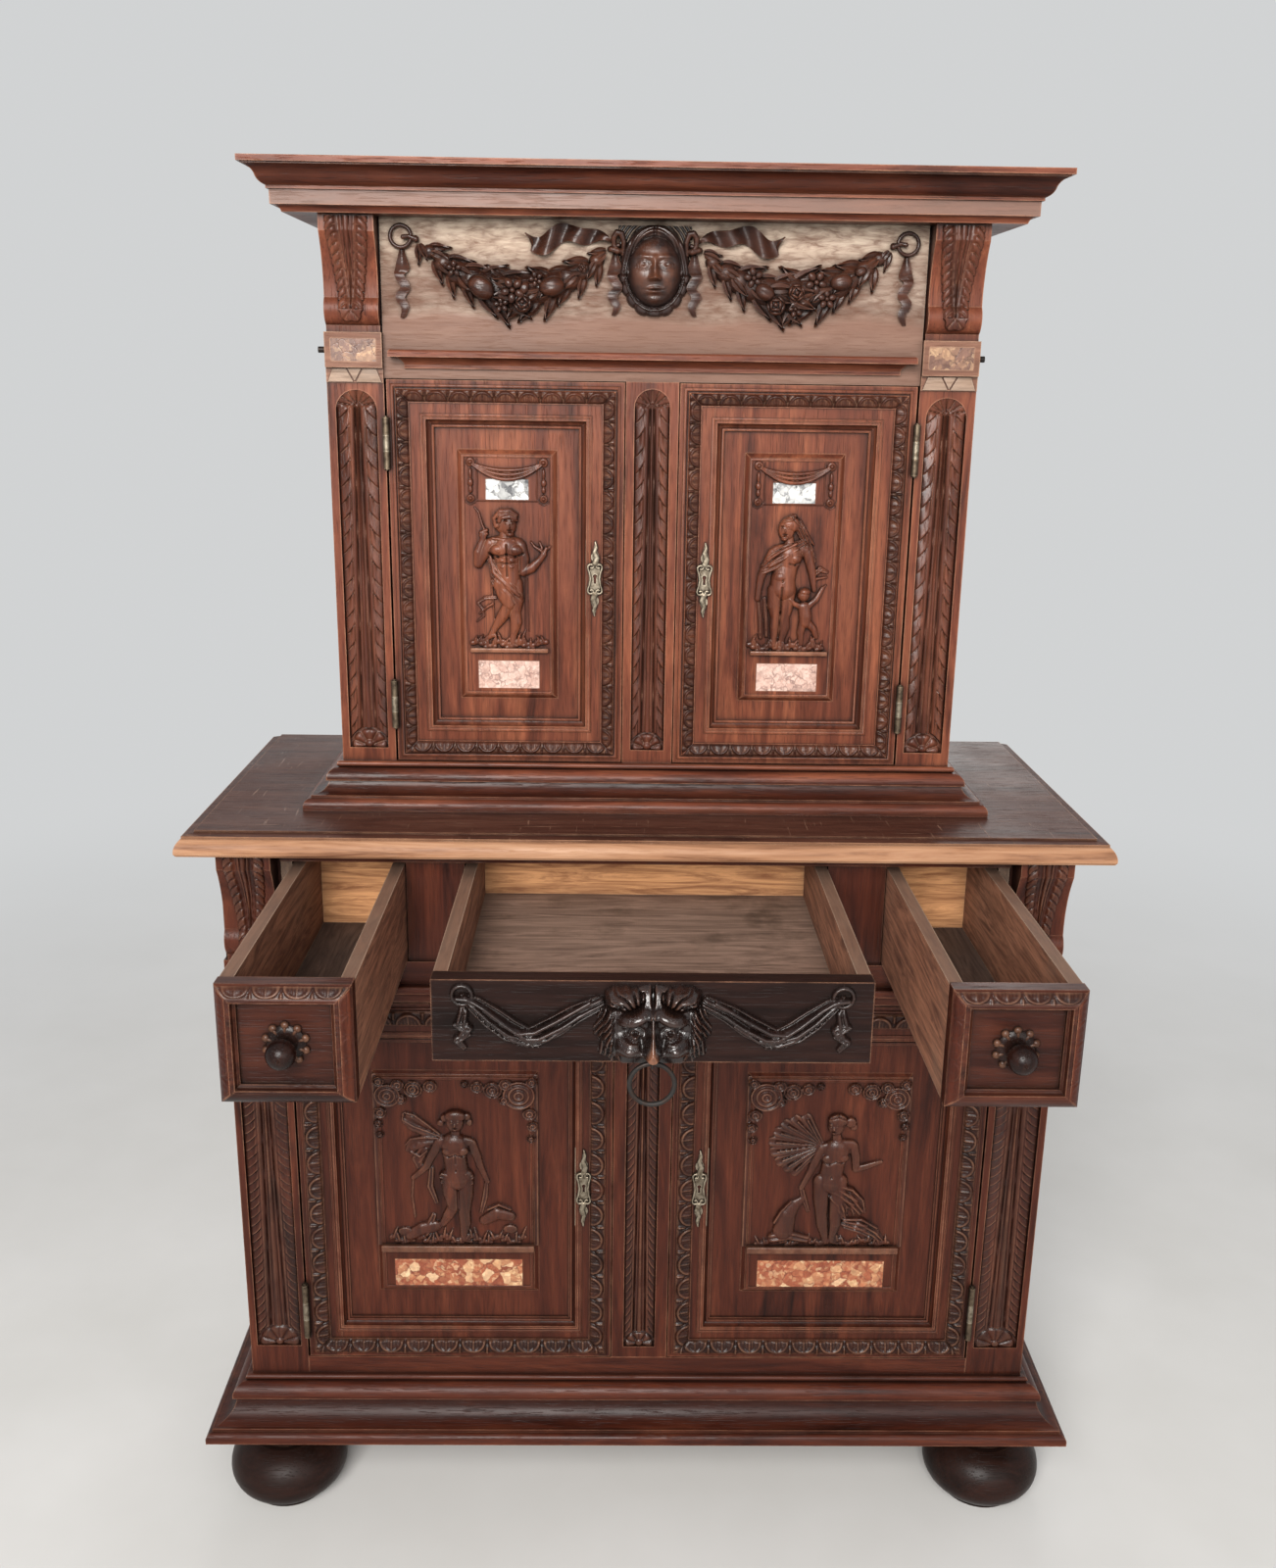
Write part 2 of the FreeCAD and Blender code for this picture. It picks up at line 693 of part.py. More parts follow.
def drawer_dividers():
    """A front stile between two drawers, with a partition board along each drawer."""
    pieces = []
    tall = ("drawer_floor", "drawer_ceiling")
    near = "centre_half + drawer_gap"
    far = "side_inner - drawer_gap"
    for name, side in SIDES.items():
        front = ("lower_front + divider_recess", "lower_post_back")
        behind = ("lower_post_back", "plank_front")
        pieces.append(board(f"{name}_divider_stile", sided(side, near, far), front, tall))
        inner = sided(side, near, f"{near} + partition_thickness")
        outer = sided(side, f"{far} - partition_thickness", far)
        pieces.append(board(f"{name}_inner_partition", inner, behind, tall))
        pieces.append(board(f"{name}_outer_partition", outer, behind, tall))
    node("drawer_dividers", pieces)


def drawer_runners():
    """Strips that the drawers slide on, and guides between the side drawers and the carcass sides."""
    pieces = []
    behind = ("lower_post_back", "plank_front")
    side_tall = ("drawer_floor - runner_height", "drawer_floor")
    centre_tall = ("centre_floor - runner_height", "centre_floor")
    for name, side in SIDES.items():
        inner = sided(side, "side_inner", "side_inner + runner_width")
        outer = sided(side, "side_outer - runner_width", "side_outer")
        centre = sided(side, "centre_half - runner_width", "centre_half")
        guide = sided(side, "side_outer + drawer_gap", "lower_bay_edge")
        cheek_deep = ("lower_front + divider_recess", "lower_post_back")
        pieces.append(board(f"{name}_inner_runner", inner, behind, side_tall))
        pieces.append(board(f"{name}_outer_runner", outer, behind, side_tall))
        pieces.append(board(f"{name}_centre_runner", centre, behind, centre_tall))
        pieces.append(board(f"{name}_cheek", guide, cheek_deep, ("drawer_floor", "drawer_ceiling")))
        pieces.append(board(f"{name}_guide", guide, behind, ("drawer_floor", "drawer_floor + guide_height")))
    node("drawer_runners", pieces)


def table_top():
    base = ("-table_width / 2", "back - table_depth", "table_under")
    top = moulded_board("table", TABLE_EDGE_SECTION, "table_edge", "table_width", "table_depth",
                        "table_thickness", base)
    node("table_top", [top])


def consoles(stage, foot, head):
    """Scrolled brackets on the corner posts."""
    pieces = []
    for name, side in SIDES.items():
        section = sized(CONSOLE_SECTION, f"{stage}_console_projection", f"({head}) - ({foot})")
        console = padded(f"{stage}_{name}_console", "YZ_Plane", section, f"{stage}_console_width")
        middle = f"{side} * ({stage}_bay_edge + {stage}_post_width / 2)"
        place(console, (f"{middle} + {stage}_console_width / 2", f"{stage}_post_front", foot), BACK_TURN)
        pieces.append(console)
    node(f"{stage}_consoles", pieces)


def frieze_blocks():
    """Blocks under the upper consoles, each with a sunk marble plaque, on faceted strips."""
    pieces = []
    marbles = []
    front = "upper_post_front - block_projection"
    middle_level = "block_foot + block_height / 2"
    for name, side in SIDES.items():
        across = sided(side, "upper_bay_edge", "upper_half")
        middle = f"{side} * (upper_bay_edge + upper_post_width / 2)"
        block_deep = (front, "upper_post_front")
        block = board(f"{name}_block_body", across, block_deep, ("block_foot", "console_foot"))
        plaque = (about(middle, "block_plaque_width / 2"), (front, f"{front} + block_plaque_depth"),
                  about(middle_level, "block_plaque_height / 2"))
        pieces.append(cut(f"{name}_block", block, board(f"{name}_block_recess", *plaque)))
        marbles.append(board(f"{name}_block_marble", *plaque))
        facet_deep = ("upper_post_front - facet_strip_projection", "upper_post_front")
        pieces.append(board(f"{name}_facet_strip", across, facet_deep, ("facet_foot", "block_foot")))
    node("frieze_blocks", pieces)
    node("block_marbles", marbles)


def frieze():
    """The frieze board, and plain solids for the garlands and the mask that are carved on it."""
    across = about(0, "upper_bay_edge")
    deep = ("frieze_face", "frieze_face + frieze_thickness")
    tall = ("upper_bay_high", "soffit")
    node("frieze_board", [board("frieze_panel", across, deep, tall)])
    head = ball("mask_ball", (0, "frieze_face", "soffit - mask_drop"), "mask_half_width", "mask_relief",
                "mask_half_height")
    ground = board("mask_ground", across, ("frieze_face", "frieze_face + mask_relief"), tall)
    node("frieze_mask", [cut("mask_front", head, ground)])
    garlands = []
    for name, side in SIDES.items():
        ring = bind(doc.addObject("Part::Torus", f"{name}_garland_ring"), Radius1="garland_radius",
                    Radius2="garland_thickness")
        ring.Angle3 = GARLAND_SWEEP
        start = FreeCAD.Rotation(FreeCAD.Vector(0, 0, 1), 270 - GARLAND_SWEEP / 2)
        level = "soffit - garland_bottom_drop + garland_radius"
        place(ring, (f"{side} * garland_centre", "frieze_face", level), FACE_FRONT.multiply(start))
        behind = ("frieze_face", "frieze_face + garland_thickness")
        ground = board(f"{name}_garland_ground", across, behind, tall)
        garlands.append(cut(f"{name}_garland", ring, ground))
    node("frieze_garlands", garlands)


def side_pegs():
    pegs = []
    for name, side in SIDES.items():
        start = "upper_half" if side > 0 else "-upper_half - peg_length"
        base = (start, "upper_front + peg_setback", "block_foot + block_height / 2")
        pegs.append(rod(f"{name}_peg", "peg_radius", "peg_length", base, ALONG_X))
    node("side_pegs", pegs)


def drawer_box(label, across, face, thickness, length, low):
    """Two sides, a back and a bottom behind a drawer front."""
    left, right = across
    front = f"{face} + {thickness}"
    end = f"{face} + {length}"
    wall = "drawer_side_thickness"
    inside = (f"({left}) + {wall}", f"({right}) - {wall}")
    top = "drawer_high - drawer_side_drop"
    floor = f"{low} + drawer_bottom_rise"
    back_front = f"{end} - drawer_back_thickness"
    pieces = [
        board(f"{label}_left_side", (left, inside[0]), (front, end), (low, top)),
        board(f"{label}_right_side", (inside[1], right), (front, end), (low, top)),
        board(f"{label}_back", inside, (back_front, end), (floor, "drawer_high - drawer_back_drop")),
        board(f"{label}_bottom", inside, (front, back_front), (floor, f"{floor} + drawer_bottom_thickness")),
    ]
    node(f"{label}_box", pieces)


def side_drawer(name, side):
    """A deep drawer whose front is a block with a carved sloping frame and a turned knob."""
    label = f"{name}_drawer"
    across = sided(side, "side_inner", "side_outer")
    tall = ("drawer_low", "drawer_high")
    block = board(f"{label}_block", across, ("side_face", "side_face + side_front_thickness"), tall)
    frame = framing(f"{label}_frame", DRAWER_FRAME_SECTION, "drawer_frame_width", "drawer_frame_proud",
                    across, "side_face", tall)
    node(f"{label}_front", [block] + frame)
    drawer_box(label, across, "side_face", "side_front_thickness", "side_drawer_length", "drawer_low")
    join = "knob_ball_out - sqrt(knob_radius ^ 2 - knob_neck_radius ^ 2)"
    tip = "knob_ball_out + sqrt(knob_radius ^ 2 - knob_tip_radius ^ 2)"
    half_turn = "180 deg - asin(knob_neck_radius / knob_radius) - asin(knob_tip_radius / knob_radius)"
    section = [
        (0, 0),
        ("knob_rose_radius", 0),
        ("knob_rose_radius", "knob_rose_thickness / 2", 60),
        ("knob_neck_radius", "knob_rose_thickness"),
        ("knob_neck_radius", join, half_turn),
        ("knob_tip_radius", tip),
        (0, "knob_out"),
    ]
    knob = turned(f"{label}_turned_knob", section)
    middle = f"{side} * (side_outer - side_drawer_width / 2)"
    place(knob, (middle, "side_face", "drawer_low + side_drawer_height / 2"), FACE_FRONT)
    node(f"{label}_knob", [knob])


def centre_drawer():
    """A wide drawer with a lion mask, whose mouth holds the eye of a ring pull."""
    across = about(0, "centre_half")
    front = board("centre_drawer_board", across, ("centre_face", "centre_face + centre_front_thickness"),
                  ("centre_low", "drawer_high"))
    node("centre_drawer_front", [front])
    drawer_box("centre_drawer", across, "centre_face", "centre_front_thickness", "centre_drawer_length",
               "centre_low")
    head = ball("lion_head", (0, "centre_face", "lion_level"), "lion_half_width", "lion_relief",
                "lion_half_height")
    snout = ball("lion_snout", (0, "centre_face - snout_out", "lion_level - snout_drop"), "snout_half_width",
                 "snout_relief", "snout_half_height")
    ground = board("lion_ground", across, ("centre_face", "centre_face + lion_relief"),
                   about("lion_level", "lion_half_height"))
    reach = "centre_face - snout_out - snout_relief - ring_radius"
    mouth = board("lion_mouth", about(0, "mouth_half_width"), (reach, "centre_face - mouth_setback"),
                  ("centre_low - mouth_height", "centre_low + mouth_height"))
    mask = cut("lion_open_mouth", cut("lion_face", fuse("lion_form", [head, snout]), ground), mouth)
    eye_low = "ring_axis_level - ring_wire_radius - ring_play - ring_wire_radius"
    eye_deep = ("centre_face - eye_out", "centre_face - mouth_setback")
    eye = board("ring_eye", about(0, "eye_width / 2"), eye_deep, (eye_low, "centre_low + mouth_height"))
    bore = rod("ring_eye_bore", "ring_wire_radius + ring_play", "eye_width",
               ("-eye_width / 2", "ring_plane", "ring_axis_level"), ALONG_X)
    node("lion_mask", [fuse("lion_with_eye", [mask, cut("ring_eye_bored", eye, bore)])])
    ring = bind(doc.addObject("Part::Torus", "ring_wire"), Radius1="ring_radius", Radius2="ring_wire_radius")
    place(ring, (0, "ring_plane", "ring_axis_level - ring_radius"), FACE_FRONT)
    node("ring_pull", [ring])


def hinge_half(name, stage, side, level, leaf, knuckles):
    """One leaf of a butt hinge. leaf is the span of its plate; knuckles are the thirds that it has."""
    height = f"{stage}_hinge_height"
    low = f"({level}) - {height} / 2"
    across = sided(side, *leaf)
    axis = (f"{side} * {stage}_hinge_line", f"{stage}_hinge_plane")
    front = f"{stage}_front"
    pieces = [board(f"{name}_plate", across, (front, f"{front} + leaf_depth"), (low, f"{low} + {height}"))]
    for third in knuckles:
        start = f"{low} + {height} * {third} / 3" + (" + knuckle_gap / 2" if third > 0 else "")
        end = f"{low} + {height} * {third + 1} / 3" + (" - knuckle_gap / 2" if third < 2 else "")
        length = f"({end}) - ({start})"
        pieces.append(rod(f"{name}_knuckle_{third}", "barrel_radius", length, axis + (start,)))
        tab = (f"{stage}_hinge_plane + pin_radius + pin_clear + knuckle_wall", front)
        pieces.append(board(f"{name}_tab_{third}", across, tab, (start, end)))
    bore = rod(f"{name}_bore", "pin_radius + pin_clear", height, axis + (low,))
    return cut(name, fuse(f"{name}_blank", pieces), bore)


def hinge_levels(stage):
    return {
        "low": f"{stage}_bay_low + door_gap + hinge_inset",
        "high": f"{stage}_bay_high - door_gap - hinge_inset",
    }


def carcass_hinges():
    """The fixed leaves of all the hinges, with their pins."""
    pieces = []
    leaf = "{0}_bay_edge - leaf_thickness", "{0}_bay_edge"
    for stage in STAGES:
        height = f"{stage}_hinge_height + 2 * pin_overhang"
        span = tuple(text.format(stage) for text in leaf)
        for name, side in SIDES.items():
            for where, level in hinge_levels(stage).items():
                label = f"{stage}_{name}_{where}_fixed_leaf"
                pieces.append(hinge_half(label, stage, side, level, span, (0, 2)))
                base = (f"{side} * {stage}_hinge_line", f"{stage}_hinge_plane", f"({level}) - ({height}) / 2")
                pieces.append(rod(f"{stage}_{name}_{where}_pin", "pin_radius", height, base))
    node("carcass_hinge_leaves", pieces)


def door_marbles(stage):
    """Width, height and level of the marble plaques of a door."""
    if stage == "upper":
        return {
            "white": ("white_marble_width", "white_marble_height", "upper_mid + white_marble_rise"),
            "pink": ("pink_marble_width", "pink_marble_height", "upper_mid - pink_marble_drop"),
        }
    return {"red": ("red_marble_width", "red_marble_height", "lower_mid - red_marble_drop")}


def door_panel(label, stage, across, tall, middle):
    """A sunk panel with a raised, bevelled tablet, and the marbles let into it."""
    face = f"{stage}_front + panel_sink"
    tablet_face = f"{face} - tablet_proud"
    width, height = f"{stage}_tablet_width", f"{stage}_tablet_height"
    field = board(f"{label}_field", across, (face, f"{face} + panel_thickness"), tall)
    tablet = bind(
        doc.addObject("Part::Wedge", f"{label}_tablet"),
        Xmin="tablet_bevel", Xmax=f"{width} - tablet_bevel", X2min="0", X2max=width,
        Zmin="tablet_bevel", Zmax=f"{height} - tablet_bevel", Z2min="0", Z2max=height,
        Ymin="0", Ymax="tablet_proud",
    )
    place(tablet, (f"({middle}) - {width} / 2", tablet_face, f"{stage}_mid - {height} / 2"))
    panel = fuse(f"{label}_panel_blank", [field, tablet])
    marbles = []
    for colour, (marble_width, marble_height, level) in door_marbles(stage).items():
        sides = about(middle, f"{marble_width} / 2")
        ends = about(level, f"{marble_height} / 2")
        floor = f"{tablet_face} + marble_depth"
        recess = board(f"{label}_{colour}_recess", sides, (tablet_face, floor), ends)
        panel = cut(f"{label}_{colour}_cut", panel, recess)
        marble_deep = (f"{tablet_face} - marble_proud", floor)
        marbles.append(board(f"{label}_{colour}_marble", sides, marble_deep, ends))
    node(f"{label}_panel", [panel])
    node(f"{label}_marble", marbles)


def escutcheon(label, stage, middle):
    """A pointed plate with a keyhole."""
    height = f"{stage}_escutcheon_height"
    right = sized(ESCUTCHEON_SIDE, "escutcheon_half_width", height)
    left = mirrored(right, 0)[:-1]
    plate = padded(f"{label}_escutcheon", "XZ_Plane", right + [(0, height)] + left, "escutcheon_thickness")
    hole_foot = f"({height} - keyhole_height) / 2"
    fall = "sqrt(keyhole_radius ^ 2 - keyhole_slot ^ 2 / 4)"
    shoulder = f"{hole_foot} + keyhole_height - keyhole_radius - {fall}"
    turn = "360 deg - 2 * asin(keyhole_slot / 2 / keyhole_radius)"
    keyhole = [
        ("-keyhole_slot / 2", hole_foot),
        ("keyhole_slot / 2", hole_foot),
        ("keyhole_slot / 2", shoulder, turn),
        ("-keyhole_slot / 2", shoulder),
    ]
    pocketed(plate, f"{label}_keyhole", "XZ_Plane", keyhole, "escutcheon_thickness")
    return place(plate, (middle, f"{stage}_front", f"{stage}_mid - {height} / 2"))


def door(stage, name, side):
    """A framed door with carved mouldings, a panel, a lock and two hinge leaves."""
    label = f"{stage}_{name}_door"
    front = f"{stage}_front"
    stile = f"{stage}_stile"
    lock_edge = f"{stage}_centre_width / 2 + lock_gap"
    hinge_edge = f"{stage}_bay_edge - hinge_gap"
    left, right = sided(side, lock_edge, hinge_edge)
    low, high = f"{stage}_bay_low + door_gap", f"{stage}_bay_high - door_gap"
    deep = (front, f"{front} + door_thickness")
    opening = (f"({left}) + {stile}", f"({right}) - {stile}")
    opening_tall = (f"{low} + {stile}", f"{high} - {stile}")
    frame = [
        board(f"{label}_left_stile", (left, opening[0]), deep, (low, high)),
        board(f"{label}_right_stile", (opening[1], right), deep, (low, high)),
        board(f"{label}_low_rail", opening, deep, (low, opening_tall[0])),
        board(f"{label}_high_rail", opening, deep, (opening_tall[1], high)),
    ]
    node(f"{label}_frame", frame)
    edge = f"{stage}_carving_edge"
    carved_across = (f"({left}) + {edge}", f"({right}) - {edge}")
    carved_tall = (f"{low} + {edge}", f"{high} - {edge}")
    carving = framing(f"{label}_carving", CARVING_SECTION, f"{stage}_carving_width", "carving_proud",
                      carved_across, front, carved_tall)
    inner = framing(f"{label}_inner", INNER_SECTION, "inner_moulding_width", "panel_sink", opening,
                    f"{front} + panel_sink", opening_tall)
    node(f"{label}_moulding", carving + inner)
    door_panel(label, stage, opening, opening_tall, f"(({left}) + ({right})) / 2")
    case_near = f"{lock_edge} + lock_inset"
    case_deep = (deep[1], f"{deep[1]} + lock_depth")
    case = board(f"{label}_lock_body", sided(side, case_near, f"{case_near} + lock_width"), case_deep,
                 about(f"{stage}_mid", "lock_height / 2"))
    channel = board(f"{label}_lock_channel", sided(side, lock_edge, f"{case_near} + lock_width"),
                    about(f"{stage}_bolt_plane", "bolt_thickness / 2 + bolt_clear"),
                    about(f"{stage}_mid", "bolt_height / 2 + bolt_clear"))
    flat_band = f"({edge} + {stage}_carving_width + {stile}) / 2"
    fittings = [
        cut(f"{label}_lock_case", case, channel),
        escutcheon(label, stage, f"{side} * ({lock_edge} + {flat_band})"),
    ]
    leaf = (hinge_edge, f"{hinge_edge} + leaf_thickness")
    for where, level in hinge_levels(stage).items():
        fittings.append(hinge_half(f"{label}_{where}_leaf", stage, side, level, leaf, (1,)))
    node(f"{label}_fittings", fittings)
    bolt_near = f"{lock_edge} + bolt_setback"
    bolt = board(f"{label}_bolt_bar", sided(side, bolt_near, f"{bolt_near} + bolt_length"),
                 about(f"{stage}_bolt_plane", "bolt_thickness / 2"), about(f"{stage}_mid", "bolt_height / 2"))
    node(f"{label}_lock_bolt", [bolt])


def write_parts():
    """Stop on any failed object, then write one file per sub-part."""
    doc.recompute()
    for thing in doc.Objects:
        if "Invalid" in thing.State or "Error" in thing.State:
            raise RuntimeError(f"{thing.Name} failed: {thing.State}")
    for label, thing in nodes.items():
        if thing.Shape.isNull() or not thing.Shape.isValid():
            raise RuntimeError(f"{label} has no valid shape")
    os.makedirs("parts", exist_ok=True)
    for label, thing in nodes.items():
        thing.Shape.exportStep(f"parts/{label}.step")
    solids = sum(len(thing.Shape.Solids) for thing in nodes.values())
    print(f"{len(nodes)} sub-parts, {solids} solids")


bun_feet()
boards()
posts()
rails()
rail_mouldings()
drawer_dividers()
drawer_runners()
table_top()
frieze_blocks()
frieze()
side_pegs()
carcass_hinges()
side_frames("lower", "plinth_height")
side_frames("upper", "upper_plinth_height")
pilasters("lower", "drawer_floor", "lower_bay_high")
pilasters("upper", "facet_foot", "facet_foot")
consoles("lower", "drawer_floor", "table_under")
consoles("upper", "console_foot", "soffit")
wrapped_moulding("plinth_moulding", PLINTH_SECTION, "plinth_projection", "plinth_height",
                 "lower_half", "lower_front", "foot_height")
wrapped_moulding("upper_plinth_moulding", UPPER_PLINTH_SECTION, "upper_plinth_projection",
                 "upper_plinth_height", "upper_half", "upper_front", "table_face")
wrapped_moulding("cornice", CORNICE_SECTION, "cornice_projection", "cornice_height",
                 "upper_half", "upper_front", "soffit")
for name, side in SIDES.items():
    side_drawer(name, side)
    for stage in STAGES:
        door(stage, name, side)
centre_drawer()
write_parts()
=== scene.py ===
from math import cos, pi, radians, sin

import bpy
import numpy as np
from mathutils import Matrix, Vector


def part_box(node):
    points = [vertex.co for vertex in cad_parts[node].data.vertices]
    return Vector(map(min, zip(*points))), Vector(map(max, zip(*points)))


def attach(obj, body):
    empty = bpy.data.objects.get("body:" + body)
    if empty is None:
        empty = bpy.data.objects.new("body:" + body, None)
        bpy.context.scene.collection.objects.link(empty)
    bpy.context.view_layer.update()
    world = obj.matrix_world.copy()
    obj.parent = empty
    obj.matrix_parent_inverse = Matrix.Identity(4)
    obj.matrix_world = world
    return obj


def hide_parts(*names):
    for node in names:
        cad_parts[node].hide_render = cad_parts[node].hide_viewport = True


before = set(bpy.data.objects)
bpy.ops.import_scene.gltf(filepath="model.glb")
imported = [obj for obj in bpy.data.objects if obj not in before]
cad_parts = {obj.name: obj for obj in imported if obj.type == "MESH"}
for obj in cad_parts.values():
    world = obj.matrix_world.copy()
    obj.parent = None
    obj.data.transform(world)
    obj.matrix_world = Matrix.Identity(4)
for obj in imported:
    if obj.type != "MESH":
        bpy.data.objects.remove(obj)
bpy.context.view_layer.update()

# Sizes of carving are in mm, those of Blender in m
MM, TO_MM = 0.001, 1000
HANDS = {-1: "left", 1: "right"}
# How far the side posts of each stage are from the middle
UPPER_POST_X, LOWER_POST_X = 334.5, 462
# The heights in m between which the finish turns from the lower stage's to the upper stage's
STAGE_TURN = (0.9, 0.99)
# How far apart in m two faces may be and still shade each other as a wide hollow or a fine one
WIDE_HOLLOW, FINE_HOLLOW = 0.03, 0.0055

# How low a sheet lies where nothing is carved on it, and the least relief that counts as carved
SUNK, LEAST = -0.8, 0.2
# How many folds a limb in relief has, and how round it is
LIMBS = {"body": (0, 0.55), "line": (0, 0.9), "cloth": (3, 0.42), "fold": (2, 0.5), "fan": (1, 0.36)}

# Where finishes change on the object, in m
# The second pair of heights marks where the frieze's top is painted paler, as painted light.
FRIEZE_SMOOTH, FRIEZE_PAINTED_LIGHT = (1.542, 1.532), (1.58, 1.632)
TABLE_FRONT, TABLE_ENDS = (-0.0525, -0.0545), (0.5272, 0.5292)
# Heights of the cornice's swell, painted dark as shade, and of its flat band, painted pale as light.
CORNICE_SHADED_SWELL, CORNICE_LIT_FLAT = (1.647, 1.667), (1.6285, 1.6433)
# Heights of the plinths' swells, painted darker as shade.
PLINTH_SHADED_SWELLS = ((0.163, 0.19), (0.97, 0.992))
DRAWER_FLOOR, DRAWER_SIDES, DRAWER_BACK = (0.86, 0.85), (0.22, 0.24), (0.055, 0.06)
MARBLE_TURN = (1.21, 1.2)
# How deep the grain of each wood is felt, in m
WALNUT_DEPTH, OAK_DEPTH, TOOLED_DEPTH = 0.0006, 0.0005, 0.0034

# Wood colours, dark to light, worn edges, the lower stage's darker stain and painted shade, and dirt and
# painted shade in hollows
DARK_WALNUT = (0.025, 0.0078, 0.0055, 1)
MID_WALNUT = (0.124, 0.0335, 0.0172, 1)
LIGHT_WALNUT = (0.235, 0.074, 0.036, 1)
WORN_WALNUT = (0.42, 0.205, 0.12, 1)
LOWER_STAGE_STAIN_AND_SHADE = (0.42, 0.345, 0.33, 1)
RUBBED_OAK = (0.42, 0.3, 0.21, 1)
GRIME_AND_SHADE = (0.007, 0.004, 0.0032, 1)
BACKDROP = (0.64, 0.65, 0.655, 1)
# How often the figure and the pores of a wood repeat along each axis, by the way its grain runs
GRAIN = {"x": (2.2, 24, 24), "y": (24, 2.2, 24), "z": (24, 24, 2.2)}
PORES = {"x": (30, 700, 700), "y": (700, 30, 700), "z": (700, 700, 30)}


# Finishes

def new_finish(name):
    """An empty finish, its node tree and the place on the object."""
    finish = bpy.data.materials.new(name)
    finish.use_nodes = True
    tree = finish.node_tree
    tree.nodes.clear()
    return finish, tree, add(tree, "TexCoord").outputs["Object"]


def feed(tree, socket, value):
    if isinstance(value, bpy.types.NodeSocket):
        tree.links.new(value, socket)
    else:
        socket.default_value = value


def add(tree, kind, values=None, **settings):
    node = tree.nodes.new("ShaderNode" + kind)
    for key, value in settings.items():
        setattr(node, key, value)
    for key, value in (values or {}).items():
        feed(tree, node.inputs[key], value)
    return node


def speckle(tree, where, scale, detail, rough=0.55, swirl=0.0):
    values = {"Vector": where, "Scale": scale, "Detail": detail, "Roughness": rough, "Distortion": swirl}
    return add(tree, "TexNoise", values).outputs[0]


def stretched(tree, where, scale, turn=(0, 0, 0)):
    return add(tree, "Mapping", {"Vector": where, "Scale": scale, "Rotation": turn}).outputs[0]


def shades(tree, amount, *stops):
    """A colour ramp; a stop is a place and a grey or a colour."""
    node = add(tree, "ValToRGB", {"Fac": amount})
    marks = node.color_ramp.elements
    marks[0].position = stops[0][0]
    marks[1].position = stops[-1][0]
    for place, _ in stops[1:-1]:
        marks.new(place)
    for mark, (_, tone) in zip(marks, stops):
        mark.color = tone if isinstance(tone, tuple) else (tone, tone, tone, 1)
    return node.outputs[0]


def mixed(tree, amount, first, second, mode="MIX"):
    node = add(tree, "Mix", data_type="RGBA", blend_type=mode)
    for index, value in ((0, amount), (6, first), (7, second)):
        feed(tree, node.inputs[index], value)
    return node.outputs[2]


def sums(tree, how, first, second=0.0):
    node = add(tree, "Math", operation=how)
    feed(tree, node.inputs[0], first)
    feed(tree, node.inputs[1], second)
    return node.outputs[0]


def times(tree, first, second):
    return sums(tree, "MULTIPLY", first, second)


def ramp(tree, value, start, end, top=1.0, **settings):
    """How far a value has come from a start to an end, up to a top."""
    values = {"Value": value, "From Min": start, "From Max": end, "To Max": top}
    return add(tree, "MapRange", values, **settings).outputs[0]


def close_off(tree, colour, rough, height, depth, strength=0.5, metal=0.0, shine=0.35):
    """The shader and the bump that every finish ends in."""
    relief = add(tree, "Bump", {"Height": height, "Strength": strength, "Distance": depth}).outputs[0]
    surface = add(tree, "BsdfPrincipled", {
        "Base Color": colour, "Roughness": rough, "Normal": relief, "Metallic": metal,
        "Specular IOR Level": shine,
    })
    output = add(tree, "OutputMaterial")
    tree.links.new(surface.outputs[0], output.inputs[0])


def edges_and_hollows(tree, wear, carved):
    """How far a spot is a worn arris, and how far it is a hollow, darkened by dirt and painted shade."""
    open_air = add(tree, "AmbientOcclusion", {"Distance": WIDE_HOLLOW}, samples=4).outputs["AO"]
    close = add(tree, "AmbientOcclusion", {"Distance": FINE_HOLLOW}, samples=4).outputs["AO"]
    geometry = add(tree, "NewGeometry")
    if carved:
        arris = shades(tree, geometry.outputs["Pointiness"], (0.5, 0.0), (0.56, 1.0))
    else:
        soft = add(tree, "Bevel", {"Radius": 0.0022}, samples=4).outputs[0]
        flat = add(tree, "VectorMath", operation="DOT_PRODUCT")
        tree.links.new(soft, flat.inputs[0])
        tree.links.new(geometry.outputs["Normal"], flat.inputs[1])
        arris = shades(tree, sums(tree, "SUBTRACT", 1.0, flat.outputs["Value"]), (0.008, 0.0), (0.1, 1.0))
    proud = times(tree, arris, shades(tree, close, (0.6, 0.0), (0.85, 1.0)))
    # Occlusion darkens hollows and inner corners: painted shade where light is blocked, with some dirt.
    deep = sums(tree, "MAXIMUM", shades(tree, open_air, (0.32, 1.0), (0.93, 0.0)),
                shades(tree, close, (0.5, 0.95), (0.93, 0.0)))
    return times(tree, proud, wear), deep


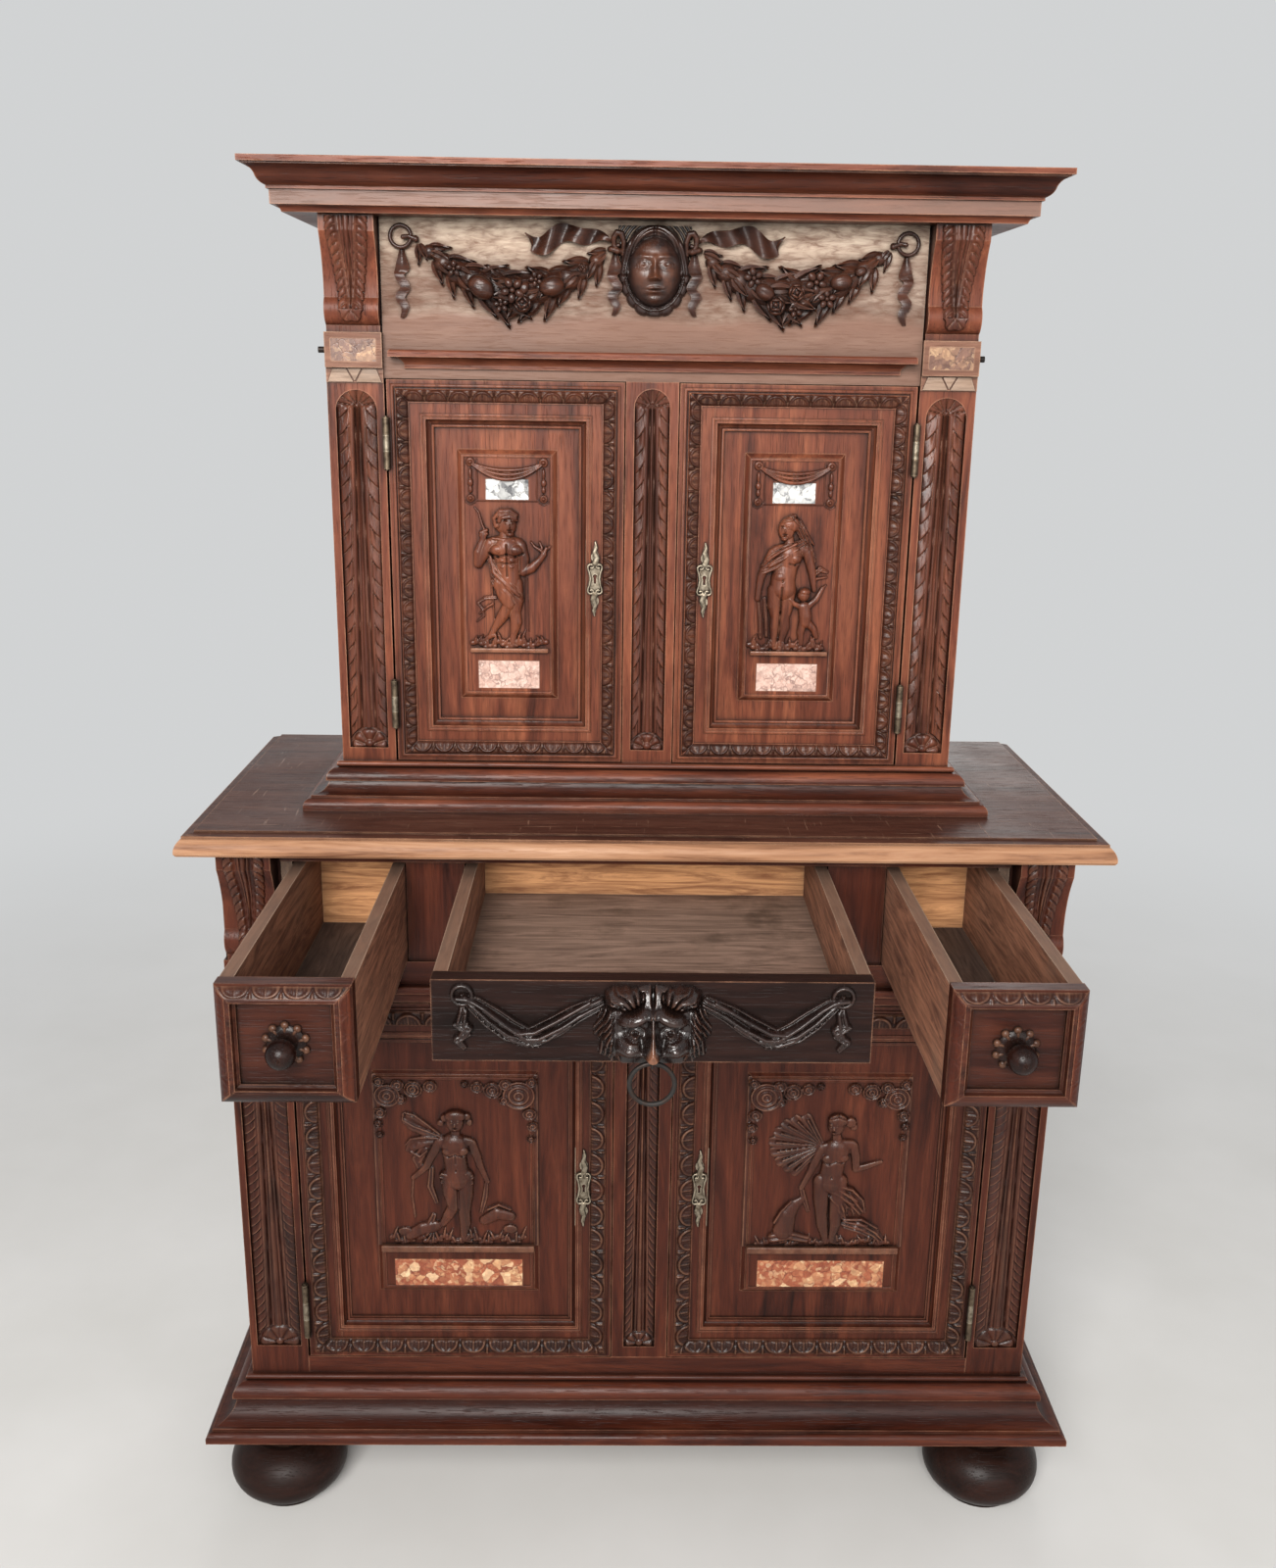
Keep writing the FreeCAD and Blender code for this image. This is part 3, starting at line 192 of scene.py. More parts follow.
def walnut(name, grain, tones=None, worn=WORN_WALNUT, gloss=0.35, wear=0.75, grime_and_shade=0.85, carved=False,
           pores=0.5, rub=None, extra=None, shine=0.17):
    """Old waxed walnut: figure, streaks, pores, rubbed edges, hollows darkened by dirt and painted shade,
    and a darker stain and painted shade below the table.
    """
    dark, mid, light = tones or (DARK_WALNUT, MID_WALNUT, LIGHT_WALNUT)
    finish, tree, where = new_finish(name)
    spot = add(tree, "SeparateXYZ", {"Vector": where}).outputs
    along = stretched(tree, where, GRAIN[grain])
    figure = speckle(tree, along, 1.3, 7, 0.62, 1.4)
    streaks = speckle(tree, along, 9, 4, 0.6)
    cloud = speckle(tree, where, 5.5, 4, 0.6)
    fine = speckle(tree, stretched(tree, where, PORES[grain]), 1.0, 2)
    colour = shades(tree, figure, (0.3, dark), (0.47, mid), (0.68, light))
    colour = mixed(tree, 1.0, colour, shades(tree, streaks, (0.3, 0.68), (0.7, 1.2)), "MULTIPLY")
    colour = mixed(tree, shades(tree, cloud, (0.42, 0.0), (0.72, 0.7)), colour, mid)
    colour = mixed(tree, shades(tree, cloud, (0.28, 0.55), (0.43, 0.0)), colour, dark)
    # The lower stage is multiplied darker: a darker stain there and painted shade under the table.
    stage_stain_and_shade = shades(tree, spot[2], (STAGE_TURN[0], LOWER_STAGE_STAIN_AND_SHADE), (STAGE_TURN[1], 1.0))
    colour = mixed(tree, 1.0, colour, stage_stain_and_shade, "MULTIPLY")
    specks = shades(tree, fine, (0.34, pores), (0.42, 0.0))
    colour = mixed(tree, specks, colour, dark)
    height = sums(tree, "SUBTRACT", times(tree, streaks, 0.45), specks)
    depth = WALNUT_DEPTH
    if extra:
        colour, height, depth = extra(tree, where, spot, colour, height)
    patches = shades(tree, speckle(tree, where, 38, 5, 0.65), (0.36, 0.25), (0.62, 1.0))
    rubbed, hollow_dirt_and_shade = edges_and_hollows(tree, times(tree, patches, wear), carved)
    # Worn edges on the lower stage are dimmed as well, part of the same darker stain and painted shade.
    rubbed = times(tree, rubbed, shades(tree, spot[2], (STAGE_TURN[0], 0.6), (STAGE_TURN[1], 1.0)))
    colour = mixed(tree, rubbed, colour, worn)
    if rub:
        proud = ramp(tree, spot[1], rub[0], rub[1])
        proud = times(tree, proud, shades(tree, speckle(tree, where, 60, 4, 0.6), (0.36, 0.0), (0.6, 1.0)))
        colour = mixed(tree, proud, colour, worn)
    # Hollows darkened toward the grime colour: dirt and painted shade from occlusion.
    colour = mixed(tree, times(tree, hollow_dirt_and_shade, grime_and_shade), colour, GRIME_AND_SHADE)
    rough = sums(tree, "ADD", shades(tree, cloud, (0.3, gloss - 0.1), (0.7, gloss + 0.12)),
                 times(tree, specks, 0.25))
    close_off(tree, colour, rough, height, depth, shine=shine)
    return finish


def tooled_ground(tree, where, spot, colour, height):
    """The chiselled ground of the frieze, redder and smooth along its lower edge, its top painted paler as
    painted light.
    """
    wavy = sums(tree, "ADD", spot[2], times(tree, speckle(tree, where, 9, 3), 0.035))
    smooth = ramp(tree, wavy, *FRIEZE_SMOOTH)
    rough = sums(tree, "SUBTRACT", 1.0, smooth)
    chips = add(tree, "TexVoronoi", {"Vector": stretched(tree, where, (58, 58, 130), (0, 0.5, 0)),
                                     "Scale": 1.0, "Randomness": 1.0}).outputs["Distance"]
    strokes = speckle(tree, stretched(tree, where, (45, 45, 190), (0, 0.3, 0)), 1.0, 5, 0.65, 1.4)
    cuts = sums(tree, "ADD", times(tree, chips, 0.8), times(tree, strokes, 1.6))
    colour = mixed(tree, times(tree, smooth, 0.75), colour, (0.155, 0.077, 0.053, 1))
    colour = mixed(tree, times(tree, rough, 0.7), colour, (0.14, 0.086, 0.065, 1))
    # The top of the frieze is painted paler: painted light that lifts it out of the cornice's shade.
    high = ramp(tree, wavy, *FRIEZE_PAINTED_LIGHT)
    colour = mixed(tree, times(tree, high, 0.9), colour, (0.6, 0.475, 0.365, 1))
    chalk = shades(tree, speckle(tree, stretched(tree, where, (9, 9, 30), (0, 0.2, 0)), 1.0, 6, 0.6, 0.8),
                   (0.42, 0.0), (0.68, 0.5))
    colour = mixed(tree, times(tree, chalk, rough), colour, (0.5, 0.405, 0.325, 1))
    dirt = ramp(tree, cuts, 0.98, 1.7, 0.85)
    colour = mixed(tree, times(tree, dirt, rough), colour, (0.12, 0.055, 0.034, 1))
    cuts = times(tree, cuts, sums(tree, "ADD", rough, 0.05))
    return colour, sums(tree, "SUBTRACT", times(tree, height, 0.3), cuts), TOOLED_DEPTH


def table_edge(tree, where, spot, colour, height):
    """The table's front and side edges, rubbed pale by hands, and fine scratches on its top."""
    front = ramp(tree, spot[1], *TABLE_FRONT)
    ends = ramp(tree, sums(tree, "ABSOLUTE", spot[0]), *TABLE_ENDS)
    bare = sums(tree, "MAXIMUM", front, ends)
    long = speckle(tree, stretched(tree, where, (4, 60, 60)), 1.0, 5, 0.65, 0.8)
    honey = shades(tree, long, (0.32, (0.13, 0.056, 0.03, 1)), (0.46, (0.31, 0.155, 0.083, 1)),
                   (0.66, (0.44, 0.25, 0.148, 1)))
    colour = mixed(tree, times(tree, bare, 0.92), colour, honey)
    scratch = speckle(tree, stretched(tree, where, (18, 420, 420), (0, 0, 0.4)), 1.0, 3, 0.5, 0.5)
    other = speckle(tree, stretched(tree, where, (360, 22, 360), (0, 0, 0.25)), 1.0, 3, 0.5, 0.5)
    marks = sums(tree, "MAXIMUM", shades(tree, scratch, (0.66, 0.0), (0.72, 0.55)),
                 shades(tree, other, (0.67, 0.0), (0.73, 0.5)))
    colour = mixed(tree, marks, colour, (0.3, 0.17, 0.11, 1))
    return colour, sums(tree, "SUBTRACT", height, marks), WALNUT_DEPTH


def height_band(tree, height, low, high, soft=0.002):
    """How far a spot lies between two heights."""
    above = ramp(tree, height, low - soft, low + soft)
    below = ramp(tree, height, high + soft, high - soft)
    return times(tree, above, below)


def cornice_bands(tree, where, spot, colour, height):
    """The cornice: its swell painted darker as painted shade, its flat band painted paler and greyer as
    painted light.
    """
    swell = height_band(tree, spot[2], *CORNICE_SHADED_SWELL)
    flat = height_band(tree, spot[2], *CORNICE_LIT_FLAT, MM)
    # Painted shade on the swell.
    colour = mixed(tree, times(tree, swell, 0.92), colour,
                   mixed(tree, 1.0, colour, (0.3, 0.25, 0.24, 1), "MULTIPLY"))
    # Painted light on the flat band.
    colour = mixed(tree, times(tree, flat, 0.7), colour, (0.195, 0.123, 0.097, 1))
    return colour, height, WALNUT_DEPTH


def plinth_bands(tree, where, spot, colour, height):
    """The two plinths: the swell in the middle of each painted darker, as painted shade."""
    swells = [height_band(tree, spot[2], *heights, 0.003) for heights in PLINTH_SHADED_SWELLS]
    swell = sums(tree, "MAXIMUM", *swells)
    # Painted shade on the swells.
    colour = mixed(tree, swell, colour, mixed(tree, 1.0, colour, (0.45, 0.42, 0.44, 1), "MULTIPLY"))
    return colour, height, WALNUT_DEPTH


def oak(name, grain, pale, deep, grey, wear=0.5):
    """Bare wood of boards and planks: long oak streaks, scuffs and grey dirt."""
    finish, tree, where = new_finish(name)
    along = stretched(tree, where, GRAIN[grain])
    figure = speckle(tree, along, 2.2, 8, 0.68, 1.9)
    lines = speckle(tree, stretched(tree, where, PORES[grain]), 0.5, 3, 0.6, 0.4)
    cloud = speckle(tree, where, 7, 4, 0.6)
    colour = shades(tree, figure, (0.34, deep), (0.62, pale))
    colour = mixed(tree, shades(tree, lines, (0.36, 0.55), (0.47, 0.0)), colour, deep)
    colour = mixed(tree, shades(tree, cloud, (0.4, 0.0), (0.7, 0.85)), colour, grey)
    rubbed, hollow_dirt_and_shade = edges_and_hollows(tree, wear, False)
    colour = mixed(tree, rubbed, colour, RUBBED_OAK)
    # Hollows darkened toward the grime colour: dirt and painted shade from occlusion.
    colour = mixed(tree, times(tree, hollow_dirt_and_shade, 0.75), colour, GRIME_AND_SHADE)
    close_off(tree, colour, shades(tree, cloud, (0.3, 0.62), (0.7, 0.82)), sums(tree, "ADD", figure, lines),
              OAK_DEPTH)
    return finish


def drawer_oak(name):
    """The drawers inside: orange backs, grey-brown floors, brown walls with pale top edges."""
    finish, tree, where = new_finish(name)
    spot = add(tree, "SeparateXYZ", {"Vector": where}).outputs
    facing = add(tree, "SeparateXYZ", {"Vector": add(tree, "NewGeometry").outputs["Normal"]}).outputs

    def wood(grain, deep, pale):
        figure = speckle(tree, stretched(tree, where, GRAIN[grain]), 2.6, 8, 0.68, 2.4)
        lines = speckle(tree, stretched(tree, where, PORES[grain]), 0.5, 3, 0.6, 0.4)
        tone = shades(tree, figure, (0.36, deep), (0.6, pale))
        tone = mixed(tree, shades(tree, lines, (0.36, 0.5), (0.46, 0.0)), tone, deep)
        return tone, sums(tree, "ADD", figure, lines)

    wall, relief = wood("y", (0.1, 0.038, 0.022, 1), (0.34, 0.15, 0.085, 1))
    back, _ = wood("x", (0.25, 0.1, 0.04, 1), (0.62, 0.31, 0.135, 1))
    board, _ = wood("x", (0.115, 0.068, 0.048, 1), (0.28, 0.175, 0.128, 1))
    small, _ = wood("y", (0.035, 0.019, 0.014, 1), (0.085, 0.05, 0.036, 1))
    cloud = speckle(tree, where, 11, 5, 0.62)
    up = ramp(tree, facing[2], 0.4, 0.6)
    low = ramp(tree, spot[2], *DRAWER_FLOOR)
    side = ramp(tree, sums(tree, "ABSOLUTE", spot[0]), *DRAWER_SIDES)
    rear = times(tree, ramp(tree, spot[1], *DRAWER_BACK), ramp(tree, facing[1], -0.4, -0.6))
    floor_tone = mixed(tree, side, board, small)
    floor_tone = mixed(tree, shades(tree, cloud, (0.3, 0.75), (0.46, 0.0)), floor_tone,
                       (0.05, 0.03, 0.02, 1))
    colour = mixed(tree, shades(tree, cloud, (0.55, 0.0), (0.75, 0.6)), wall, (0.19, 0.105, 0.068, 1))
    colour = mixed(tree, rear, colour, back)
    colour = mixed(tree, times(tree, up, low), colour, floor_tone)
    edge = times(tree, up, sums(tree, "SUBTRACT", 1.0, low))
    colour = mixed(tree, times(tree, edge, 0.8), colour,
                   mixed(tree, cloud, (0.07, 0.032, 0.02, 1), (0.2, 0.125, 0.085, 1)))
    rubbed, hollow_dirt_and_shade = edges_and_hollows(tree, 0.6, False)
    colour = mixed(tree, rubbed, colour, RUBBED_OAK)
    # Inner corners darkened toward the grime colour: dirt and painted shade from occlusion.
    colour = mixed(tree, times(tree, hollow_dirt_and_shade, 0.45), colour, GRIME_AND_SHADE)
    close_off(tree, colour, shades(tree, cloud, (0.3, 0.62), (0.7, 0.82)), relief, OAK_DEPTH)
    return finish


def breccia_tone(tree, where, scale, stops, seam_colour, seam_width, swirl):
    """The colour of a polished stone of broken bits, and its sunk seams."""
    tone, edge = stones(tree, where, scale, swirl)
    small, _ = stones(tree, where, scale * 2.7, swirl * 0.5)
    colour = mixed(tree, 0.4, shades(tree, tone, *stops), shades(tree, small, *stops))
    cloud = speckle(tree, where, scale * 1.6, 6, 0.7)
    colour = mixed(tree, 1.0, colour, shades(tree, cloud, (0.3, 0.72), (0.7, 1.12)), "MULTIPLY")
    seam = shades(tree, edge, (0.0, 0.85), (seam_width, 0.0))
    seam = times(tree, seam, shades(tree, speckle(tree, where, scale * 0.8, 3), (0.42, 0.0), (0.58, 1.0)))
    return mixed(tree, seam, colour, seam_colour), seam


def iron(name, tone, rust, gloss, metal=0.85):
    """Old metal with blotches of rust, its edges rubbed bright."""
    finish, tree, where = new_finish(name)
    blotch = speckle(tree, where, 160, 5, 0.65)
    broad = speckle(tree, where, 35, 4, 0.6)
    colour = mixed(tree, shades(tree, blotch, (0.42, 0.0), (0.64, 1.0)), tone, rust)
    rubbed, hollow_dirt_and_shade = edges_and_hollows(tree, 0.8, False)
    colour = mixed(tree, rubbed, colour, tuple(min(1, 2.0 * part) for part in tone[:3]) + (1,))
    # Hollows darkened toward the grime colour: dirt and painted shade from occlusion.
    colour = mixed(tree, times(tree, hollow_dirt_and_shade, 0.8), colour, GRIME_AND_SHADE)
    close_off(tree, colour, shades(tree, broad, (0.3, gloss - 0.1), (0.7, gloss + 0.2)), blotch, 0.0004,
              0.6, metal)
    return finish


def stones(tree, where, scale, swirl):
    """Broken bits: a random colour for each, and the line between them."""
    bent = add(tree, "VectorMath", operation="MULTIPLY_ADD")
    tree.links.new(add(tree, "TexNoise", {"Vector": where, "Scale": scale * 1.3, "Detail": 3}).outputs[1],
                   bent.inputs[0])
    bent.inputs[1].default_value = (swirl,) * 3
    tree.links.new(where, bent.inputs[2])
    bits = add(tree, "TexVoronoi", {"Vector": bent.outputs[0], "Scale": scale})
    lines = add(tree, "TexVoronoi", {"Vector": bent.outputs[0], "Scale": scale}, feature="DISTANCE_TO_EDGE")
    tone = add(tree, "SeparateColor", {"Color": bits.outputs["Color"]}).outputs[0]
    return tone, lines.outputs["Distance"]


def seen_rays(tree):
    """One for rays of the camera, of reflections and through glass, and none for the rays that light."""
    rays = add(tree, "LightPath").outputs
    return sums(tree, "MAXIMUM", sums(tree, "MAXIMUM", rays["Is Camera Ray"], rays["Is Glossy Ray"]),
                rays["Is Transmission Ray"])


def breccia(name, *kinds):
    """Polished marble; of two kinds, the first is set above 1.2 m and the second below."""
    finish, tree, where = new_finish(name)
    colour, seam = breccia_tone(tree, where, *kinds[0])
    if len(kinds) > 1:
        above = add(tree, "SeparateXYZ", {"Vector": where}).outputs[2]
        lower = ramp(tree, above, *MARBLE_TURN)
        colour = mixed(tree, lower, colour, breccia_tone(tree, where, *kinds[1])[0])
    rough = shades(tree, speckle(tree, where, 90, 3), (0.3, 0.22), (0.7, 0.4))
    close_off(tree, colour, rough, times(tree, seam, -1.0), 0.0003, 0.4)
    return finish


def pale_floor(name, backdrop):
    """A pale floor that runs out into the backdrop, where only the camera and reflections see it."""
    finish, tree, where = new_finish(name)
    cloud = speckle(tree, where, 3.0, 4)
    colour = shades(tree, cloud, (0.3, (0.58, 0.57, 0.55, 1)), (0.7, (0.63, 0.62, 0.605, 1)))
    relief = add(tree, "Bump", {"Height": cloud, "Strength": 0.2, "Distance": 0.0004}).outputs[0]
    near = add(tree, "BsdfPrincipled", {"Base Color": colour, "Roughness": 0.8, "Normal": relief,
                                        "Specular IOR Level": 0.2})
    far = add(tree, "Emission", {"Color": backdrop, "Strength": 1.0})
    away = add(tree, "VectorMath", {"Vector": where}, operation="LENGTH").outputs["Value"]
    away = ramp(tree, away, 0.9, 3.6, interpolation_type="SMOOTHSTEP")
    blend = add(tree, "MixShader", {0: times(tree, away, seen_rays(tree))})
    tree.links.new(near.outputs[0], blend.inputs[1])
    tree.links.new(far.outputs[0], blend.inputs[2])
    tree.links.new(blend.outputs[0], add(tree, "OutputMaterial").inputs[0])
    return finish


# Building by hand. Sizes are in mm, turns in degrees, anticlockwise from the front.

def place_at(x, y, z, turn=0.0, lean=0.0, size=(1, 1, 1)):
    """Where a copy goes: turn is in the plane of the front, and lean tips its top outwards."""
    turned = Matrix.Rotation(radians(-turn), 4, "Y") @ Matrix.Rotation(radians(lean), 4, "X")
    return Matrix.Translation((x * MM, y * MM, z * MM)) @ turned @ Matrix.Diagonal((*size, 1))


# Meshes of blanks that were made once
BLANKS = {}


def blank(shape, fine):
    """The mesh of a turned blank one mm in radius (and long, for a rod), made once for each fineness."""
    if (shape, fine) not in BLANKS:
        bpy.ops.object.select_all(action="DESELECT")
        if shape == "ball":
            bpy.ops.mesh.primitive_uv_sphere_add(segments=fine[0], ring_count=fine[1], radius=MM)
        else:
            bpy.ops.mesh.primitive_cylinder_add(vertices=fine, radius=MM, depth=MM)
        model = bpy.context.object
        BLANKS[shape, fine] = model.data
        bpy.data.objects.remove(model)
    return BLANKS[shape, fine].copy()


def worked(mesh):
    piece = bpy.data.objects.new("piece", mesh)
    bpy.context.collection.objects.link(piece)
    return piece


def ball(x, y, z, wide, deep, tall, turn=0.0, fine=(12, 8)):
    mesh = blank("ball", fine)
    mesh.transform(place_at(x, y, z, turn, size=(wide, deep, tall)))
    return worked(mesh)


def rod(start, end, thick, thin, sides):
    first, last = Vector(start) * MM, Vector(end) * MM
    way = last - first
    mesh = blank("rod", sides)
    for vertex in mesh.vertices:
        wide = thin if vertex.co.z > 0 else thick
        vertex.co = (vertex.co.x * wide, vertex.co.y * wide, vertex.co.z * way.length * TO_MM)
    turned = way.to_track_quat("Z", "Y").to_matrix().to_4x4()
    mesh.transform(Matrix.Translation((first + last) / 2) @ turned)
    return worked(mesh)


def limb(*points, fine=(10, 7)):
    """A chain of tapered rods with round joints, through points of x, y, z and radius."""
    pieces = [ball(x, y, z, r, r, r, fine=fine) for x, y, z, r in points]
    for first, last in zip(points, points[1:]):
        pieces.append(rod(first[:3], last[:3], first[3], last[3], fine[0]))
    return pieces


def hoop(x, y, z, radius, wire, fine=(24, 8)):
    bpy.ops.mesh.primitive_torus_add(major_segments=fine[0], minor_segments=fine[1],
                                     major_radius=radius * MM, minor_radius=wire * MM)
    piece = bpy.context.object
    piece.matrix_world = Matrix.Translation((x * MM, y * MM, z * MM)) @ Matrix.Rotation(pi / 2, 4, "X")
    return piece


def named(piece, name):
    piece.name = name
    piece.data.name = name
    return piece


def joined(name, pieces):
    bpy.ops.object.select_all(action="DESELECT")
    for piece in pieces:
        piece.select_set(True)
    bpy.context.view_layer.objects.active = pieces[0]
    if len(pieces) > 1:
        bpy.ops.object.join()
    bpy.ops.object.transform_apply(location=True, rotation=True, scale=True)
    return named(bpy.context.object, name)


def copies(model, places):
    made = []
    for place in places:
        mesh = model.data.copy()
        mesh.transform(place)
        made.append(worked(mesh))
    return made


def put_away(*models):
    for model in models:
        bpy.data.objects.remove(model)


def modify(piece, kind, **settings):
    bpy.context.view_layer.objects.active = piece
    change = piece.modifiers.new(kind, kind)
    for key, value in settings.items():
        setattr(change, key, value)
    bpy.ops.object.modifier_apply(modifier=change.name)


def take_up(piece):
    bpy.ops.object.select_all(action="DESELECT")
    piece.select_set(True)
    bpy.context.view_layer.objects.active = piece


def outward(piece):
    """Turns all faces to the outside."""
    take_up(piece)
    bpy.ops.object.mode_set(mode="EDIT")
    bpy.ops.mesh.select_all(action="SELECT")
    bpy.ops.mesh.normals_make_consistent(inside=False)
    bpy.ops.object.mode_set(mode="OBJECT")


def points_of(piece):
    spots = np.empty(len(piece.data.vertices) * 3, dtype=np.float64)
    piece.data.vertices.foreach_get("co", spots)
    return spots.reshape(-1, 3)


def set_points(piece, spots):
    piece.data.vertices.foreach_set("co", np.ascontiguousarray(spots, dtype=np.float64).ravel())
    piece.data.update()


def carved_sheet(name, x, y, z, back):
    """A fine grid pushed into a carved surface, with its rim sunk to a plane and its back closed."""
    bpy.ops.object.select_all(action="DESELECT")
    rows, columns = x.shape
    bpy.ops.mesh.primitive_grid_add(x_subdivisions=columns - 1, y_subdivisions=rows - 1, size=1)
    piece = bpy.context.object
    y = np.array(y)
    y[0] = y[-1] = back
    y[:, 0] = y[:, -1] = back
    set_points(piece, np.stack((x, y, z), -1).reshape(-1, 3) * MM)
    bpy.ops.object.mode_set(mode="EDIT")
    bpy.ops.mesh.select_all(action="SELECT")
    bpy.ops.mesh.fill_holes(sides=0)
    bpy.ops.mesh.select_all(action="SELECT")
    bpy.ops.mesh.normals_make_consistent(inside=False)
    bpy.ops.object.mode_set(mode="OBJECT")
    return named(piece, name)


def field(left, right, low, high, grain):
    """The x and z of a grid of points about one grain apart."""
    across = np.linspace(left, right, int((right - left) / grain) + 2)
    return np.meshgrid(across, np.linspace(low, high, int((high - low) / grain) + 2))


def mound(x, z, x0, z0, wide, tall, height, turn=0.0):
    """A soft swelling, or a hollow where the height is negative."""
    c, s = cos(radians(turn)), sin(radians(turn))
    along, up = (x - x0) * c + (z - z0) * s, (z - z0) * c - (x - x0) * s
    return height * np.exp(-(along / wide) ** 2 - (up / tall) ** 2)


def dome(x, z, x0, z0, wide, tall, height):
    return height * np.sqrt(np.clip(1 - ((x - x0) / wide) ** 2 - ((z - z0) / tall) ** 2, 0, 1))


def fade(value, low, high):
    share = np.clip((value - low) / (high - low), 0, 1)
    return share * share * (3 - 2 * share)


def line(distance, width):
    return np.exp(-(distance / width) ** 2)


def repeat(value):
    """How far a value is from the nearest whole number."""
    return value - np.round(value)


def settle(piece, body, finish, angle=None):
    """Gives a finished piece its shading, finish, slot and body."""
    take_up(piece)
    if angle is None:
        bpy.ops.object.shade_smooth()
    else:
        bpy.ops.object.shade_smooth_by_angle(angle=radians(angle))
    piece.data.materials.clear()
    piece.data.materials.append(finish)
    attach(piece, body)
    return piece


def face_of(node, x, z):
    """How far forward a node's front is at a spot, in mm."""
    hit, spot, _, _ = cad_parts[node].ray_cast(Vector((x * MM, -2, z * MM)), Vector((0, 1, 0)))
    assert hit, f"nothing of {node} at {x}, {z}"
    return spot.y * TO_MM


def span(node):
    low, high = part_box(node)
    return low * TO_MM, high * TO_MM


# Shapes that the carver uses again and again

def leaf_model():
    """A pointed leaf one unit long along X with a sunk vein, curling forward."""
    bpy.ops.mesh.primitive_grid_add(x_subdivisions=7, y_subdivisions=4, size=1)
    leaf = bpy.context.object
    for vertex in leaf.data.vertices:
        t, s = vertex.co.x + 0.5, vertex.co.y * 2
        width = 0.5 * sin(pi * min(1, t * 0.9 + 0.1) ** 0.8) + 0.02
        crown = 0.2 * sin(pi * min(1, t + 0.12)) * (1 - s * s) + 0.1 * t * t
        groove = 0.16 * max(0, 1 - abs(s) * 2.6)
        vertex.co = (MM * t, -MM * (crown - groove), MM * s * width)
    modify(leaf, "SOLIDIFY", thickness=0.22 * MM, offset=-1)
    outward(leaf)
    return leaf


def flower_model():
    """A small open flower of five petals, one unit across in each half."""
    pieces = []
    for turn in range(90, 450, 72):
        way = radians(turn)
        pieces.append(ball(0.62 * cos(way), -0.18, 0.62 * sin(way), 0.44, 0.24, 0.34, turn, (10, 6)))
    pieces.append(ball(0, -0.3, 0, 0.26, 0.26, 0.26, fine=(8, 6)))
    return joined("flower_model", pieces)


def rose_model():
    """A round rose: a core, a heart and two rows of petals."""
    pieces = [ball(0, 0, 0, 0.95, 0.6, 0.95, fine=(10, 6)), ball(0, -0.7, 0, 0.24, 0.24, 0.24, fine=(8, 6))]
    for row, (radius, out, count) in enumerate(((0.72, -0.38, 5), (0.42, -0.62, 4))):
        for step in range(count):
            turn = 360 / count * step + 40 * row
            way = radians(turn)
            pieces.append(ball(radius * cos(way), out, radius * sin(way), 0.44, 0.2, 0.17, turn + 90,
                               (8, 6)))
    return joined("rose_model", pieces)


def fruit_model():
    """A ripe split fruit, its slit along X."""
    fruit = joined("fruit_model", [ball(0, 0, 0, 1.25, 0.9, 0.9, fine=(18, 12))])
    spots = points_of(fruit) * TO_MM
    slit = (np.clip(1 - np.abs(spots[:, 2] - 0.1 - 0.1 * spots[:, 0]) * 4.5, 0, 1)
            * np.clip(1.2 - np.abs(spots[:, 0]), 0, 1))
    spots[:, 1] += 0.28 * slit
    set_points(fruit, spots * MM)
    return fruit


def ribbon(rows, thick=1.1):
    """A folded ribbon from rows of points of x, y and z, one row for each fold."""
    across = len(rows[0])
    bpy.ops.mesh.primitive_grid_add(x_subdivisions=across - 1, y_subdivisions=len(rows) - 1, size=1)
    cloth = bpy.context.object
    for index, vertex in enumerate(cloth.data.vertices):
        vertex.co = Vector(rows[index // across][index % across]) * MM
    modify(cloth, "SUBSURF", levels=1, render_levels=1)
    modify(cloth, "SOLIDIFY", thickness=thick * MM, offset=0)
    outward(cloth)
    return cloth


def hanging_tail(x, y, top, drop, lean):
    """A ribbon end that hangs in a bell of pleats and then in zigzag folds."""
    outline = [(0.0, -2.5, 2.5, 3), (0.1, -4, 4, 4), (0.26, -8.5, 7, 5), (0.33, -8, 9, 2),
               (0.37, 1, 9.5, 5.5), (0.47, -7, 6, 3), (0.56, -8.5, 0, 5.5), (0.62, -7, 8, 2.2),
               (0.7, 0, 9, 5), (0.79, -6, 6, 3), (0.86, -7, 0, 5), (1.0, -1, 4.5, 2.5)]
    rows = []
    for down, left, right, out in outline:
        row = []
        for step in range(5):
            share = step / 4
            pleat = 1.2 * cos(share * 2 * pi) if down < 0.3 else 0.6 * sin(share * pi)
            row.append((x + lean * (left + (right - left) * share), y - 1.7 * out - pleat,
                        top - drop * down))
        rows.append(row)
    return ribbon(rows)


def hanging(t, outer, inner, z_outer, z_inner, sag):
    """A point of a festoon that hangs between two ends: how far from the middle, and how high."""
    drop = sag * (1 - abs(2 * t - 1) ** 2)
    return outer + (inner - outer) * t, z_outer + (z_inner - z_outer) * t - drop


# Frieze

